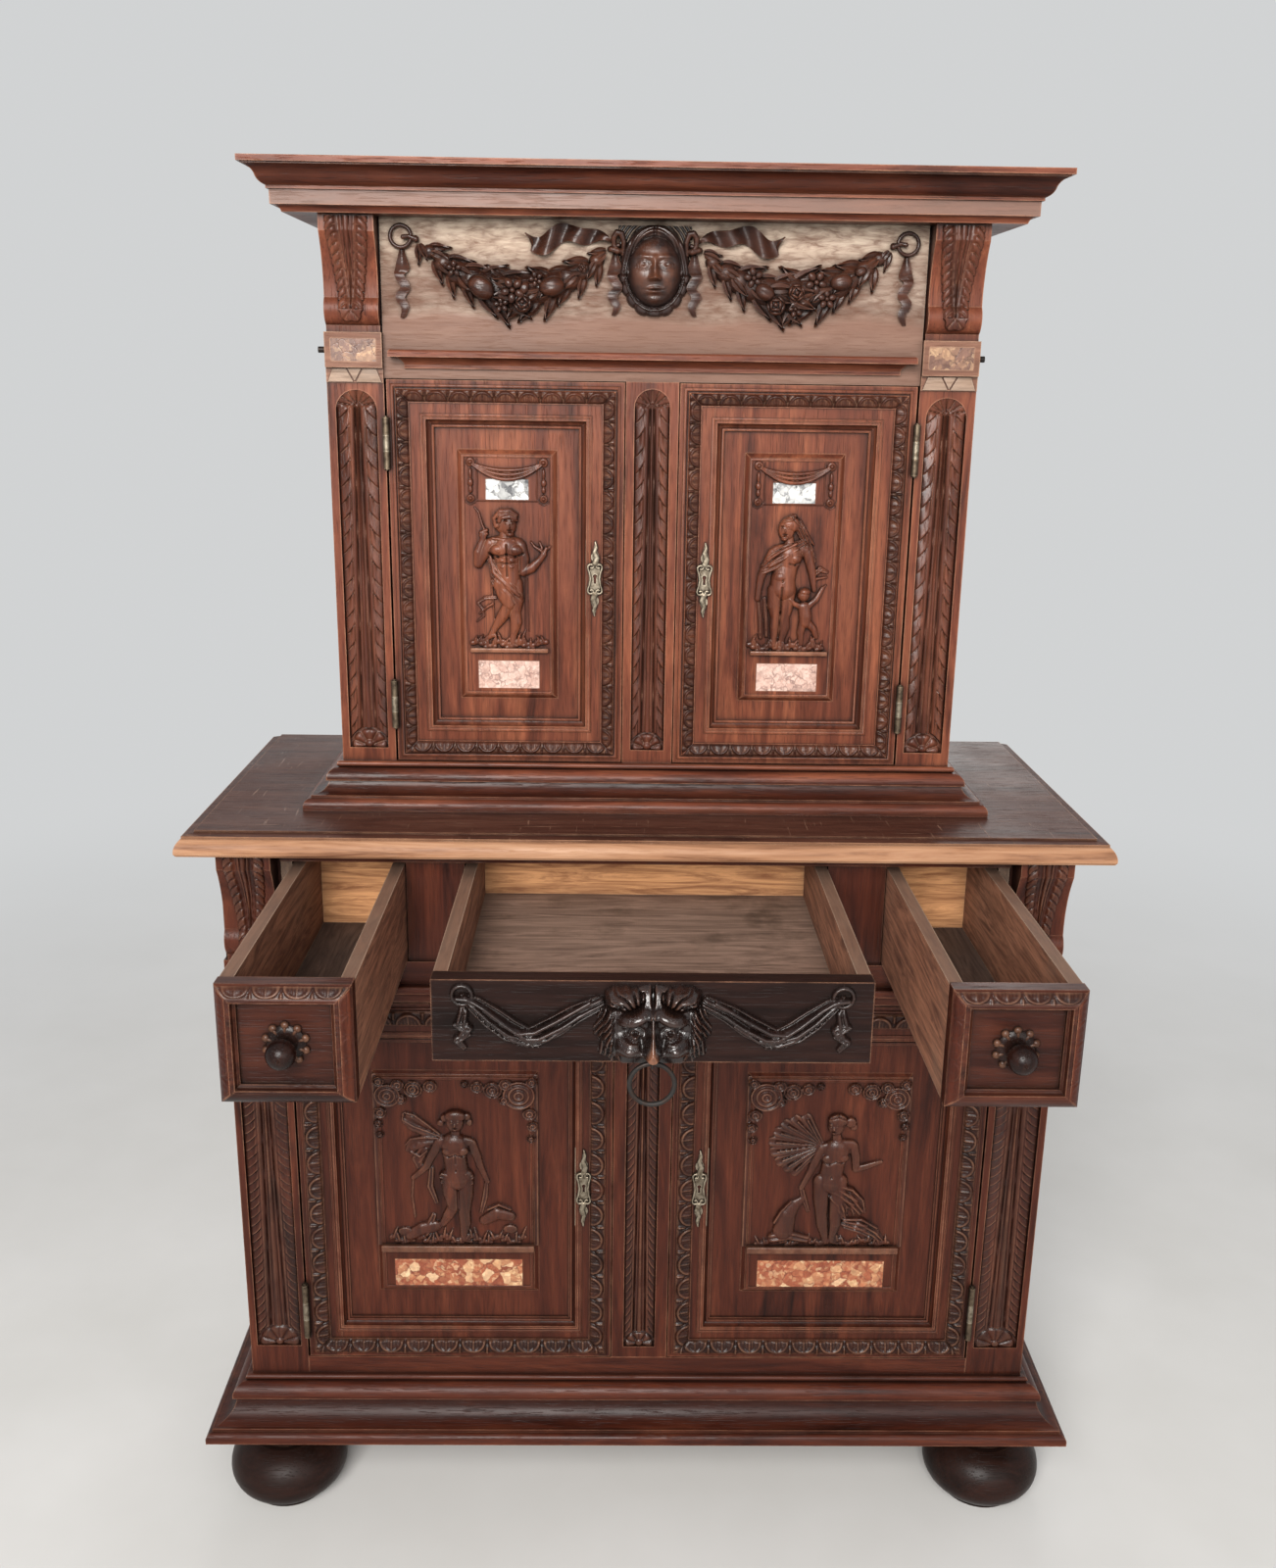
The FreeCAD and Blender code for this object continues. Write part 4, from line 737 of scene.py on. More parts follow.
def garland(side, models, finish):
    """Leaves, fruit and flowers from a ring to the mask, and a ribbon with one end hung and one blown up."""
    leaf, flower, rose, fruit = models
    ground = face_of("frieze_board", side * 100, 1500)

    def path(t):
        x, z = hanging(t, 263, 49, 1600, 1592, 49)
        return side * x, z

    def girth(t, most=16):
        return 3.5 + most * sin(pi * t) ** 0.8

    pieces = []
    for step in range(15):
        t = step / 14
        x, z = path(t)
        thick = girth(t, 15)
        pieces.append(ball(x, ground - 2, z, thick * 1.1, 3 + thick * 0.62, thick))
    sprays = []
    for row, count, off, spread, reach in ((-1, 13, 0.5, 42, 31), (1, 11, 0.5, 30, 33),
                                           (-1, 10, 0.12, 16, 27), (1, 9, 0.1, 10, 29)):
        for step in range(count):
            t = (step + 0.5 + 0.25 * row) / count
            x, z = path(t)
            ahead = path(t + 0.01)
            inward = 1 if t < 0.5 else -1
            way = Vector((ahead[0] - x, ahead[1] - z)) * inward
            angle = np.degrees(np.arctan2(way.y, way.x))
            below = np.sign(way.x) * row
            thick = girth(t)
            wobble = 9 * sin(step * 2.4 + row)
            long = reach * (0.62 + 0.38 * sin(pi * t)) * (1 + 0.1 * sin(step * 1.7))
            out = 4 + thick * (0.18 if off > 0.3 else 0.62)
            sprays.append(place_at(x, ground - out, z + row * off * thick, angle + below * spread + wobble,
                                   12 * row, (long, long * 0.55, long * 0.46)))
    pieces += copies(leaf, sprays)
    blooms = {
        -1: ((fruit, 0.34, -0.2, 13, -35), (fruit, 0.7, -0.1, 11.5, 10), (rose, 0.55, -0.7, 11, 0),
             (flower, 0.5, 0.0, 13, 30), (flower, 0.2, 0.1, 8.5, 0), (flower, 0.62, 0.55, 8, 20),
             (fruit, 0.56, 0.1, 6, 60), (rose, 0.86, 0.2, 6, 0), (flower, 0.44, -0.85, 8.5, 10)),
        1: ((flower, 0.72, 0.55, 10.5, 12), (fruit, 0.27, 0.1, 10, 12), (rose, 0.5, 0.1, 10, 20),
            (flower, 0.4, 0.55, 12, 40), (flower, 0.34, -0.6, 10, 0), (rose, 0.6, -0.7, 11.5, 50),
            (fruit, 0.66, -0.1, 9.5, 150), (flower, 0.5, -0.8, 8, 15), (fruit, 0.17, 0.1, 5.5, 30)),
    }
    for model, t, off, size, turn in blooms[side]:
        x, z = path(t)
        thick = girth(t)
        out = 5 + thick * 0.66 * (1 - 0.35 * abs(off))
        spot = place_at(x, ground - out, z + off * thick, turn, 14 * off, (size,) * 3)
        pieces += copies(model, [spot])
    x_ring, z_ring = side * 279, 1602
    pieces += [hoop(x_ring, ground - 4.5, z_ring, 11.5, 2.2)]
    pieces += limb((x_ring - side * 3, ground - 7, z_ring - 1, 2.6), (side * 270, ground - 6, 1602, 2.2),
                   (side * 262, ground - 5, 1599, 3.4))
    pieces += limb((side * 49, ground - 6, 1592, 3.2), (side * 40, ground - 6, 1596, 2.6))
    pieces.append(hanging_tail(x_ring - side, ground + 2, z_ring - 13, 72, side))
    rows = []
    for step in range(25):
        t = step / 24
        x = side * (44 + 97 * t)
        middle = 1597 + 11 * sin(pi * min(1, t * 1.25)) + 3.5 * sin(t * 13)
        half = 3 + 6.5 * min(1, t * 2.4)
        row = []
        for share in (-1, -0.5, 0, 0.5, 1):
            notch = 9 * (1 - abs(share)) if step == 24 else 0
            row.append((x - side * notch + side * 3 * share, ground - 6 - 4.2 * sin(t * 19 + 1.5 * share),
                        middle + half * share))
        rows.append(row)
    pieces.append(ribbon(rows, 1.4))
    carving = settle(joined(f"frieze_garland_{HANDS[side]}", pieces), "carcass", finish, 50)
    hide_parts("frieze_garlands")


def frieze_mask(finish, ribbon_finish):
    """A calm mask: parted hair, a band along the jaw and a scalloped collar, between two ribbon loops."""
    low, high = span("frieze_mask")
    ground, mid = high.y, (low.z + high.z) / 2 + 1
    x, z = field(-40.5, 40.5, mid - 48.5, mid + 46.5, 0.62)
    a, up = np.abs(x), z - mid
    oval = np.sqrt((x / 31) ** 2 + ((up + 0.5) / 39.5) ** 2)
    face = 25.5 * np.clip(1 - oval ** 3, 0, 1) ** 0.5
    face += mound(a, up, 12.2, 12.6, 10, 3.0, 1.9, 4) - mound(a, up, 12.4, 5.2, 8.2, 4.6, 4.0)
    eye = np.sqrt(((a - 12.4) / 6.6) ** 2 + ((up - 4.8) / (4.2 - 0.045 * (a - 12.4) ** 2 / 2)) ** 2)
    face += 3.6 * np.sqrt(np.clip(1 - eye ** 2, 0, 1)) + 1.3 * line(eye - 1.1, 0.14)
    face -= mound(a, up, 12.4, 4.8, 1.6, 1.6, 0.9)
    down = np.clip((11 - up) / 21, 0, 1)
    face += (2.4 + 5.0 * down) * line(x, 2.8 + 1.8 * down) * fade(up, -12.5, -9) * (1 - fade(up, 9, 17))
    face += mound(x, up, 0, -9.0, 4.6, 3.4, 2.2) + mound(a, up, 5.0, -10.4, 2.5, 2.1, 2.2)
    face += mound(a, up, 3.4, -19.4, 5.6, 1.6, 1.8, -8) + mound(x, up, 0, -23.4, 6.8, 1.9, 2.2)
    face -= mound(x, up, 0, -21.3, 9.0, 0.8, 1.9) + mound(x, up, 0, -27.6, 8.6, 2.2, 1.2)
    face += mound(x, up, 0, -33, 8.6, 5, 2.6) + mound(a, up, 17, -7, 8.6, 8.6, 1.6)
    strands = np.abs(np.sin(oval * 24 + 0.06 * a + 1.2 * np.sin(up * 0.11)))
    hair = ((11 + 8 * fade(up, 6, 36)) * np.clip(1 - ((oval - 1.02) / 0.21) ** 2, 0, 1) ** 0.5
            + 2.0 * strands - 2.2 * line(x, 1.6))
    height = np.where((oval > 0.82) & (up > -12), np.maximum(face, hair * fade(up, -12, -4)), face)
    band = 11.0 * np.clip(1 - ((oval - 1.04) / 0.085) ** 2, 0, 1) ** 0.5 - 2.0 * line(oval - 1.05, 0.02)
    frill = np.arctan2(up + 2, x) * 9
    collar = 7.5 * np.clip(1 - ((oval - 1.1) / (0.13 + 0.05 * np.abs(np.sin(frill)))) ** 2, 0, 1) ** 0.4
    collar -= 1.9 * line(repeat(frill / pi), 0.12)
    jaw = 1 - fade(up, -6, 4)
    height = np.maximum(height, np.maximum(band, collar) * jaw)
    forward = ground - np.where(height > 0.6, height, SUNK)
    sheet = carved_sheet("frieze_mask_carved", x, forward, z, ground + 1.5)
    settle(sheet, "carcass", finish, 60)
    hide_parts("frieze_mask")
    loops = []
    for side in (-1, 1):
        loops += limb((side * 35, ground - 6, mid + 16, 2.6), (side * 34, ground - 9, mid + 28, 3.0),
                      (side * 37, ground - 10, mid + 37, 3.3), (side * 42, ground - 10, mid + 38, 3.4),
                      (side * 45.5, ground - 9, mid + 33, 3.2), (side * 45, ground - 8, mid + 25, 2.8),
                      (side * 42, ground - 7, mid + 20, 3.0))
        loops += limb((side * 36, ground - 6, mid + 19, 3.2), (side * 41, ground - 8, mid + 19, 3.6),
                      (side * 48, ground - 7, mid + 21, 3.0))
    loops += [hanging_tail(side * 43.5, ground + 2, mid + 18, 66, side) for side in (-1, 1)]
    settle(joined("mask_ribbon_tails", loops), "carcass", ribbon_finish, 50)


# Consoles and pilasters

def console_carving(stage, finish):
    """On each console: two columns of slanted gadroons beside a tapered ridge, ending in a scallop."""
    node = f"{stage}_consoles"
    low, high = span(node)
    for side in (-1, 1):
        middle = side * (abs(low.x) - (30 if stage == "upper" else 31))
        foot, head = low.z + 9, high.z - 1
        x, z = field(middle - 26, middle + 26, foot, head, 0.75)
        u = np.abs(x - middle)
        rise = (z - foot) / (head - foot)
        half = 13.0 + 10.5 * fade(rise, 0.0, 1.0)
        ridge = 9.5 * np.clip(rise - 0.12, 0, 1) ** 0.9 + 0.4
        c = np.clip((u - ridge) / (half - ridge), 0, 1.4)
        step = (head - foot) / 12.5
        wave = repeat((z + 9 * c - 2.5 * np.sin(c * pi)) / step)
        lobe = np.clip(1 - (2 * np.abs(wave)) ** 2.4, 0, 1) ** 0.6
        edge = half - 2.2 * (1 - lobe)
        bulge = np.clip(1 - np.abs(2 * np.clip(c, 0, 1) - 1) ** 2.2, 0, 1) ** 0.5
        height = np.where(u < edge, 0.5 + (1.2 + 2.6 * lobe * fade(c, 0.1, 0.4)) * bulge, -0.4)
        tongue = 0.6 + 3.4 * np.clip(1 - u / (ridge + 0.1), 0, 1) ** 0.7 - 1.6 * line(u - 0.42 * ridge, 0.8)
        height = np.where(u < ridge, np.maximum(tongue, 0.3), height)
        reach = np.hypot(u, (z - foot - 15) * 0.95)
        way = np.arctan2(u, foot + 15 - z)
        shell = 14.0 - 2.2 * np.abs(np.cos(2.6 * way)) ** 4
        scallop = 1.0 + 2.8 * (reach / 14) ** 1.4 - 1.2 * line(repeat(2.6 * way / pi + 0.5), 0.12)
        height = np.where(z < foot + 15, np.where(reach < shell, scallop, -0.4), height)
        ground = np.array([face_of(node, middle, row) for row in z[:, 0]])[:, None]
        label = f"{stage}_console_carving_{HANDS[side]}"
        sheet = carved_sheet(label, x, ground - height, z, high.y - 3)
        settle(sheet, "carcass", finish, 60)


def pilaster_carving(stage, middle, width, foot, head, rise, finish, label):
    """Inside a flute: two rounded columns of leaf strokes, a tapered tongue, a shell and a fan."""
    floor = face_of(f"{stage}_pilasters", middle + width * 0.3, (foot + head) / 2)
    half = width / 2
    x, z = field(middle - half - 0.5, middle + half + 0.5, foot - 0.5, head + 0.5, 0.85)
    u = np.abs(x - middle)
    top = head - rise
    t = np.clip((z - foot) / (top - foot), 0, 1)
    tongue = 0.17 * width * (1 - 0.8 * t) + 0.6
    c = np.clip((u - tongue - 0.5) / (half - tongue - 0.5), 0, 1)
    pitch, drop, inner = (19, 25, 0.42) if stage == "upper" else (11.8, 20, 0.2)
    run = (drop * (1 - c) ** 1.6 - z + (4 if middle > 0 else 0)) / pitch
    lobe = run - np.floor(run)
    long = 0.5 + 0.5 * np.mod(np.floor(run), 2) if stage == "upper" else 1.0
    reach = fade(c, inner * long, inner * long + 0.25)
    bulge = np.clip(1 - np.abs(2 * c - 1) ** 3, 0, 1) ** 0.6
    scale = 0.35 + 0.65 * lobe ** 0.8 * (1 - fade(lobe, 0.9, 1.0))
    height = 0.2 + bulge * (4.3 * (1 - reach) + 4.7 * reach * scale)
    height -= 1.3 * (1 - reach) * line(c - 0.3, 0.05)
    blade = 0.4 + 4.0 * np.clip(1 - u / tongue, 0, 1) ** 0.7 - 1.2 * line(u - 0.5 * tongue, 0.8)
    height = np.where(u < tongue, blade, height)
    ru, rv = u / half, np.clip(z - top, -rise * 0.6, rise) / rise
    way = np.arctan2(rv, ru)
    bowl = 0.6 + 4.2 * np.clip(np.hypot(ru, rv), 0, 1) ** 1.5 - 1.6 * line(repeat(way * 7 / pi + 0.5), 0.14)
    bowl += dome(x, z, middle, top + 1, 3.4, 3.8, 3.0)
    height = height + (bowl - height) * fade(z, top - 3, top + 3)
    fan = 0.46 * width
    reach = np.hypot(u, z - foot - 1.5)
    way = np.arctan2(z - foot - 1.5, u)
    petals = np.abs(np.cos(9 * way / 2))
    leaf = 0.5 + 4.2 * (reach / fan) ** 0.7 * petals ** 0.7 * np.clip(1 - (reach / fan) ** 8, 0, 1)
    rim = fan * (0.92 + 0.08 * petals)
    fanned = np.where(reach < rim, leaf, np.where(reach < fan + 2.5, 0.2, height))
    height = np.where(z < foot + fan + 2.5, fanned, height)
    height = np.maximum(height, dome(x, z, middle, foot + 4, 5.6, 5.6, 4.9))
    sheet = carved_sheet(label, x, floor - np.minimum(height, 4.9), z, floor + 1.5)
    settle(sheet, "carcass", finish, 60)


def leaf_and_dart(s, t):
    """A leaf with a rim and a rib, and half a dart on each side: s runs along, t from root to tip."""
    r = np.sqrt((s / 0.46) ** 2 + np.clip(t, 0, 2) ** 2)
    leaf = (0.5 * fade(1 - r, -0.02, 0.06) + 0.5 * line(r - 0.84, 0.12)
            + 0.42 * line(s, 0.035) * fade(1 - r, 0.1, 0.4))
    leaf -= 0.25 * line(np.abs(s) - 0.17, 0.03) * fade(1 - r, 0.2, 0.4)
    dart = 0.8 * line(np.abs(s) - 0.5, 0.045) * fade(t, 0.25, 0.6)
    return np.maximum(leaf, dart)


def leafed_strips(name, left, right, low, high, width, pitch, ground, lift, body, finish, sides="tblr",
                  tip_out=True):
    """Mitred strips of leaf and dart along a frame; ground is how far forward each line of it is."""
    pieces = []
    for key in sides:
        start, end = (left, right) if key in "tb" else (low, high)
        steps = int((end - start) / 1.0)
        along, q = np.meshgrid(np.linspace(0, 1, steps), np.linspace(0, 1, int(width / 0.9) + 2))
        count = max(2, round((end - start - width) / pitch))
        run = start + q * width + along * (end - start - 2 * q * width)
        shift = 0.5 if count % 2 else 0.0
        s = repeat((run - (start + end) / 2) * count / (end - start - width) + shift + 0.5)
        t = (q - 0.1) / 0.8
        t = 1 - t if tip_out else t
        corner = fade(np.minimum(run - start - q * width, end - q * width - run), 0.0, 5.0)
        height = (lift * (0.14 + leaf_and_dart(s, t) * (0.25 + 0.75 * corner)) * fade(t, -0.12, 0.02)
                  * fade(1.12 - t, 0, 0.1))
        forward = np.interp(q, np.linspace(0, 1, len(ground)), ground) - height
        inward = q * width
        x, z = {"t": (run, high - inward), "b": (run, low + inward), "l": (left + inward, run),
                "r": (right - inward, run)}[key]
        pieces.append(carved_sheet(name, x, forward, z, max(ground) + 0.6))
    settle(joined(name, pieces), body, finish, 60)


# Doors

def ledge(middle, half, low, high, face, out):
    """A small moulded shelf under a figure."""
    bpy.ops.mesh.primitive_cube_add(size=MM)
    shelf = bpy.context.object
    shelf.matrix_world = place_at(middle, face - out / 2 + 1, (low + high) / 2,
                                  size=(2 * half, out + 2, high - low))
    shelf = joined("ledge", [shelf])
    modify(shelf, "BEVEL", width=1.4 * MM, segments=3)
    return shelf


def key_plate(body, front, height, tall, finish):
    """A cast plate of scrolls and flames round a keyhole, over the plain plate."""
    spots = points_of(cad_parts[f"{body}_fittings"]) * TO_MM
    plate = spots[(np.abs(spots[:, 2] - height) < tall * 50) & (spots[:, 1] < front - 1)]
    middle, face = (plate[:, 0].min() + plate[:, 0].max()) / 2, front - 1.9
    x, z = field(-11, 11, -52 * tall, 52 * tall, 0.45)
    relief = np.full_like(x, -1.0)
    for end in (-1, 1):
        flame = [(0, 21, 3.6, 0.9), (2.2, 28, 3.2, 0.9), (-0.8, 36, 2.5, 0.8), (1.5, 43, 1.8, 0.7),
                 (0.2, 50, 0.9, 0.5)]
        raise_limb(relief, x, z, "body", [(end * u, end * v * tall, r, out) for u, v, r, out in flame])
        for hand in (-1, 1):
            turns = [(radians(-30 + 30 * step), 4.4 - 0.26 * step) for step in range(12)]
            curl = [(hand * (4.2 + r * cos(way)), end * (16.5 + r * sin(way)) * tall, 1.3, 0.8)
                    for way, r in turns]
            raise_limb(relief, x, z, "line", curl)
            arm = [(hand * 8.2, end * 14 * tall, 1.3, 0.8), (hand * 6.4, end * 8.5 * tall, 1.4, 0.9),
                   (hand * 5.2, 0, 1.5, 0.9)]
            raise_limb(relief, x, z, "line", arm)
    forward = face - np.where(relief > LEAST, relief, -2.6)
    sheet = carved_sheet(f"{body}_key_plate", middle + x, forward, height + z, front + 1.2)
    settle(sheet, body, finish, 60)


def bead_ring(left, right, low, high, ground, width, proud):
    """A mitred half-round bead along four sides, made from a plate by insets, with its middle taken out."""
    bpy.ops.object.select_all(action="DESELECT")
    bpy.ops.mesh.primitive_plane_add(size=1, rotation=(pi / 2, 0, 0))
    ring = bpy.context.object
    bpy.ops.object.transform_apply(location=False, rotation=True, scale=False)
    spots = points_of(ring)
    spots = spots * [(right - left) * MM, 0, (high - low) * MM]
    set_points(ring, spots + [(left + right) / 2 * MM, (ground + 1) * MM, (low + high) / 2 * MM])
    bpy.ops.object.mode_set(mode="EDIT")
    bpy.ops.mesh.select_all(action="SELECT")
    bpy.ops.mesh.select_mode(type="FACE")
    for wide, out in ((0.01, 1 + 0.4 * proud), (0.15, 0.4 * proud), (0.25, 0.2 * proud), (0.2, 0),
                      (0.25, -0.2 * proud), (0.14, -0.4 * proud), (0.01, -1 - 0.4 * proud)):
        bpy.ops.mesh.inset(thickness=wide * width * MM, depth=out * MM)
    bpy.ops.mesh.delete(type="FACE")
    bpy.ops.mesh.select_mode(type="EDGE")
    bpy.ops.mesh.select_all(action="DESELECT")
    bpy.ops.mesh.select_non_manifold()
    bpy.ops.mesh.bridge_edge_loops()
    bpy.ops.mesh.select_all(action="SELECT")
    bpy.ops.mesh.normals_make_consistent(inside=False)
    bpy.ops.object.mode_set(mode="OBJECT")
    return ring


def window(x, z, spots, reach):
    """The rows and columns of a grid near some spots."""
    rows = np.searchsorted(z[:, 0], (min(s[1] for s in spots) - reach, max(s[1] for s in spots) + reach))
    columns = np.searchsorted(x[0], (min(s[0] for s in spots) - reach, max(s[0] for s in spots) + reach))
    return slice(*rows), slice(*columns)


def raise_limb(relief, x, z, kind, chain):
    """Raises a tapering limb along a chain of x, z, radius and lift, with folds where it is cloth."""
    folds, deep = LIMBS[kind]
    for (x0, z0, r0, out0), (x1, z1, r1, out1) in zip(chain, chain[1:]):
        near = window(x, z, ((x0, z0), (x1, z1)), max(r0, r1) + 1)
        dx, dz, ax, az = x[near] - x0, z[near] - z0, x1 - x0, z1 - z0
        run = np.hypot(ax, az)
        t = np.clip((dx * ax + dz * az) / run ** 2, 0, 1)
        r, out = r0 + (r1 - r0) * t, out0 + (out1 - out0) * t
        off = np.hypot(dx - t * ax, dz - t * az) / r
        top = out + deep * r * np.sqrt(np.clip(1 - off ** 2, 0, 1))
        if folds:
            top -= 0.3 * r * np.abs(np.sin((ax * dz - az * dx) / (run * r) * folds * pi / 2 + pi / 2)) ** 3
        relief[near] = np.where(off < 1, np.maximum(relief[near], top), relief[near])


def raise_dome(relief, x, z, x0, z0, wide, tall, height, turn=0.0):
    near = window(x, z, ((x0, z0),), max(wide, tall) + 1)
    c, s = cos(radians(turn)), sin(radians(turn))
    along, up = (x[near] - x0) * c + (z[near] - z0) * s, (z[near] - z0) * c - (x[near] - x0) * s
    off = (along / wide) ** 2 + (up / tall) ** 2
    top = height * (0.45 + 0.55 * np.sqrt(np.clip(1 - off, 0, 1)))
    relief[near] = np.where(off < 1, np.maximum(relief[near], top), relief[near])


def raise_curl(relief, x, z, x0, z0, r):
    """A curled cloud: rings within rings, the inner ones prouder."""
    near = window(x, z, ((x0, z0),), r + 1)
    off = np.hypot(x[near] - x0, (z[near] - z0) * 1.05) / r
    rings = 2 + (r > 9)
    top = 1.9 + 1.9 * (1 - off) + 0.95 * np.cos(2 * pi * rings * (off - 0.93))
    relief[near] = np.where(off < 1, np.maximum(relief[near], top), relief[near])


def cut_line(relief, x, z, width, depth, chain):
    for (x0, z0), (x1, z1) in zip(chain, chain[1:]):
        near = window(x, z, ((x0, z0), (x1, z1)), 3 * width)
        dx, dz, ax, az = x[near] - x0, z[near] - z0, x1 - x0, z1 - z0
        t = np.clip((dx * ax + dz * az) / (ax * ax + az * az), 0, 1)
        cut = depth * line(np.hypot(dx - t * ax, dz - t * az), width)
        relief[near] = np.where(relief[near] > 1.2, np.maximum(relief[near] - cut, 0.6), relief[near])


def chains(**kinds):
    """Limbs as pairs of a kind and a chain, from the chains of each kind."""
    return [(kind, chain) for kind, group in kinds.items() for chain in group]


def raised(relief, rise):
    """Relief to its full height, and out of sight where nothing is carved."""
    return np.where(relief > LEAST, relief * rise, SUNK)


def carved_figure(name, middle, plane, area, shapes, rise, body, finish):
    """A figure in relief: limbs and swellings raised from a plane, then cut with lines."""
    limbs, domes, curls, cuts = shapes
    x, z = field(*area)
    relief = np.full_like(x, -1.0)
    for kind, chain in limbs:
        raise_limb(relief, x, z, kind, chain)
    for shape in domes:
        raise_dome(relief, x, z, *shape)
    for shape in curls:
        raise_curl(relief, x, z, *shape)
    for shape in cuts:
        cut_line(relief, x, z, *shape)
    sheet = carved_sheet(name, middle + x, plane - raised(relief, rise), z, plane + 1.4)
    return settle(sheet, body, finish, 75)


def rocks(left, right, low, high, count, seed):
    """Broken ground and short plants under a figure, as limbs."""
    limbs = []
    for step in range(count):
        wave = sin(step * 2.7 + seed)
        x = left + (right - left) * (step + 0.5) / count
        z = low + (high - low) * (0.2 + 0.2 * sin(step * 1.3 + seed))
        lean, tall = 6 * sin(step * 1.9 + seed), (high - low) * (0.35 + 0.35 * wave * wave)
        limbs.append(("body", [(x - 3, z - 1, 3.6, 0.6), (x + 3, z + wave, 3.2, 0.8)]))
        limbs.append(("line", [(x, z, 2.0, 1.2), (x + 0.5 * lean, z + 0.6 * tall, 1.8, 1.4),
                               (x + lean, z + tall, 0.7, 0.6)]))
    return limbs


def tablet_festoon(top):
    """The cloth swag, discs and husk pendants round the white plaque of an upper door."""
    limbs, domes = [], []
    for fold, sag in ((0, 8), (1, 12), (2, 16)):
        spots = []
        for step in range(11):
            x, z = hanging(step / 10, -40, 40, top - 1 - fold, top - 1 - fold, sag)
            spots.append((x, z, 1.0 + 1.5 * sin(pi * step / 10), 1.0 + 0.5 * fold))
        limbs.append(("line", spots))
    for hand in (-1, 1):
        x = hand * 42
        domes += [(x, top, 5.4, 5.4, 2.4), (x, top, 2.6, 2.6, 4.6), (x, top - 41, 4.8, 4.8, 2.2),
                  (x, top - 41, 2.4, 2.4, 4.2), (x, top - 13, 2.0, 6.5, 3.4), (x, top - 23, 3.2, 4.6, 3.6),
                  (x, top - 31, 2.4, 4.2, 3.2)]
        limbs.append(("line", [(x - hand * 7.5, top + 3, 0.8, 0.3), (x - hand * 7.5, top - 40, 0.8, 0.3),
                               (x - hand * 5, top - 46, 0.8, 0.3), (x, top - 48.5, 0.8, 0.3),
                               (x + hand * 5, top - 46, 0.8, 0.3), (x + hand * 7.5, top - 40, 0.8, 0.3),
                               (x + hand * 7.5, top + 1, 0.8, 0.3)]))
    limbs.append(("line", [(-34.5, top - 44, 0.7, 0.3), (34.5, top - 44, 0.7, 0.3)]))
    return limbs, domes


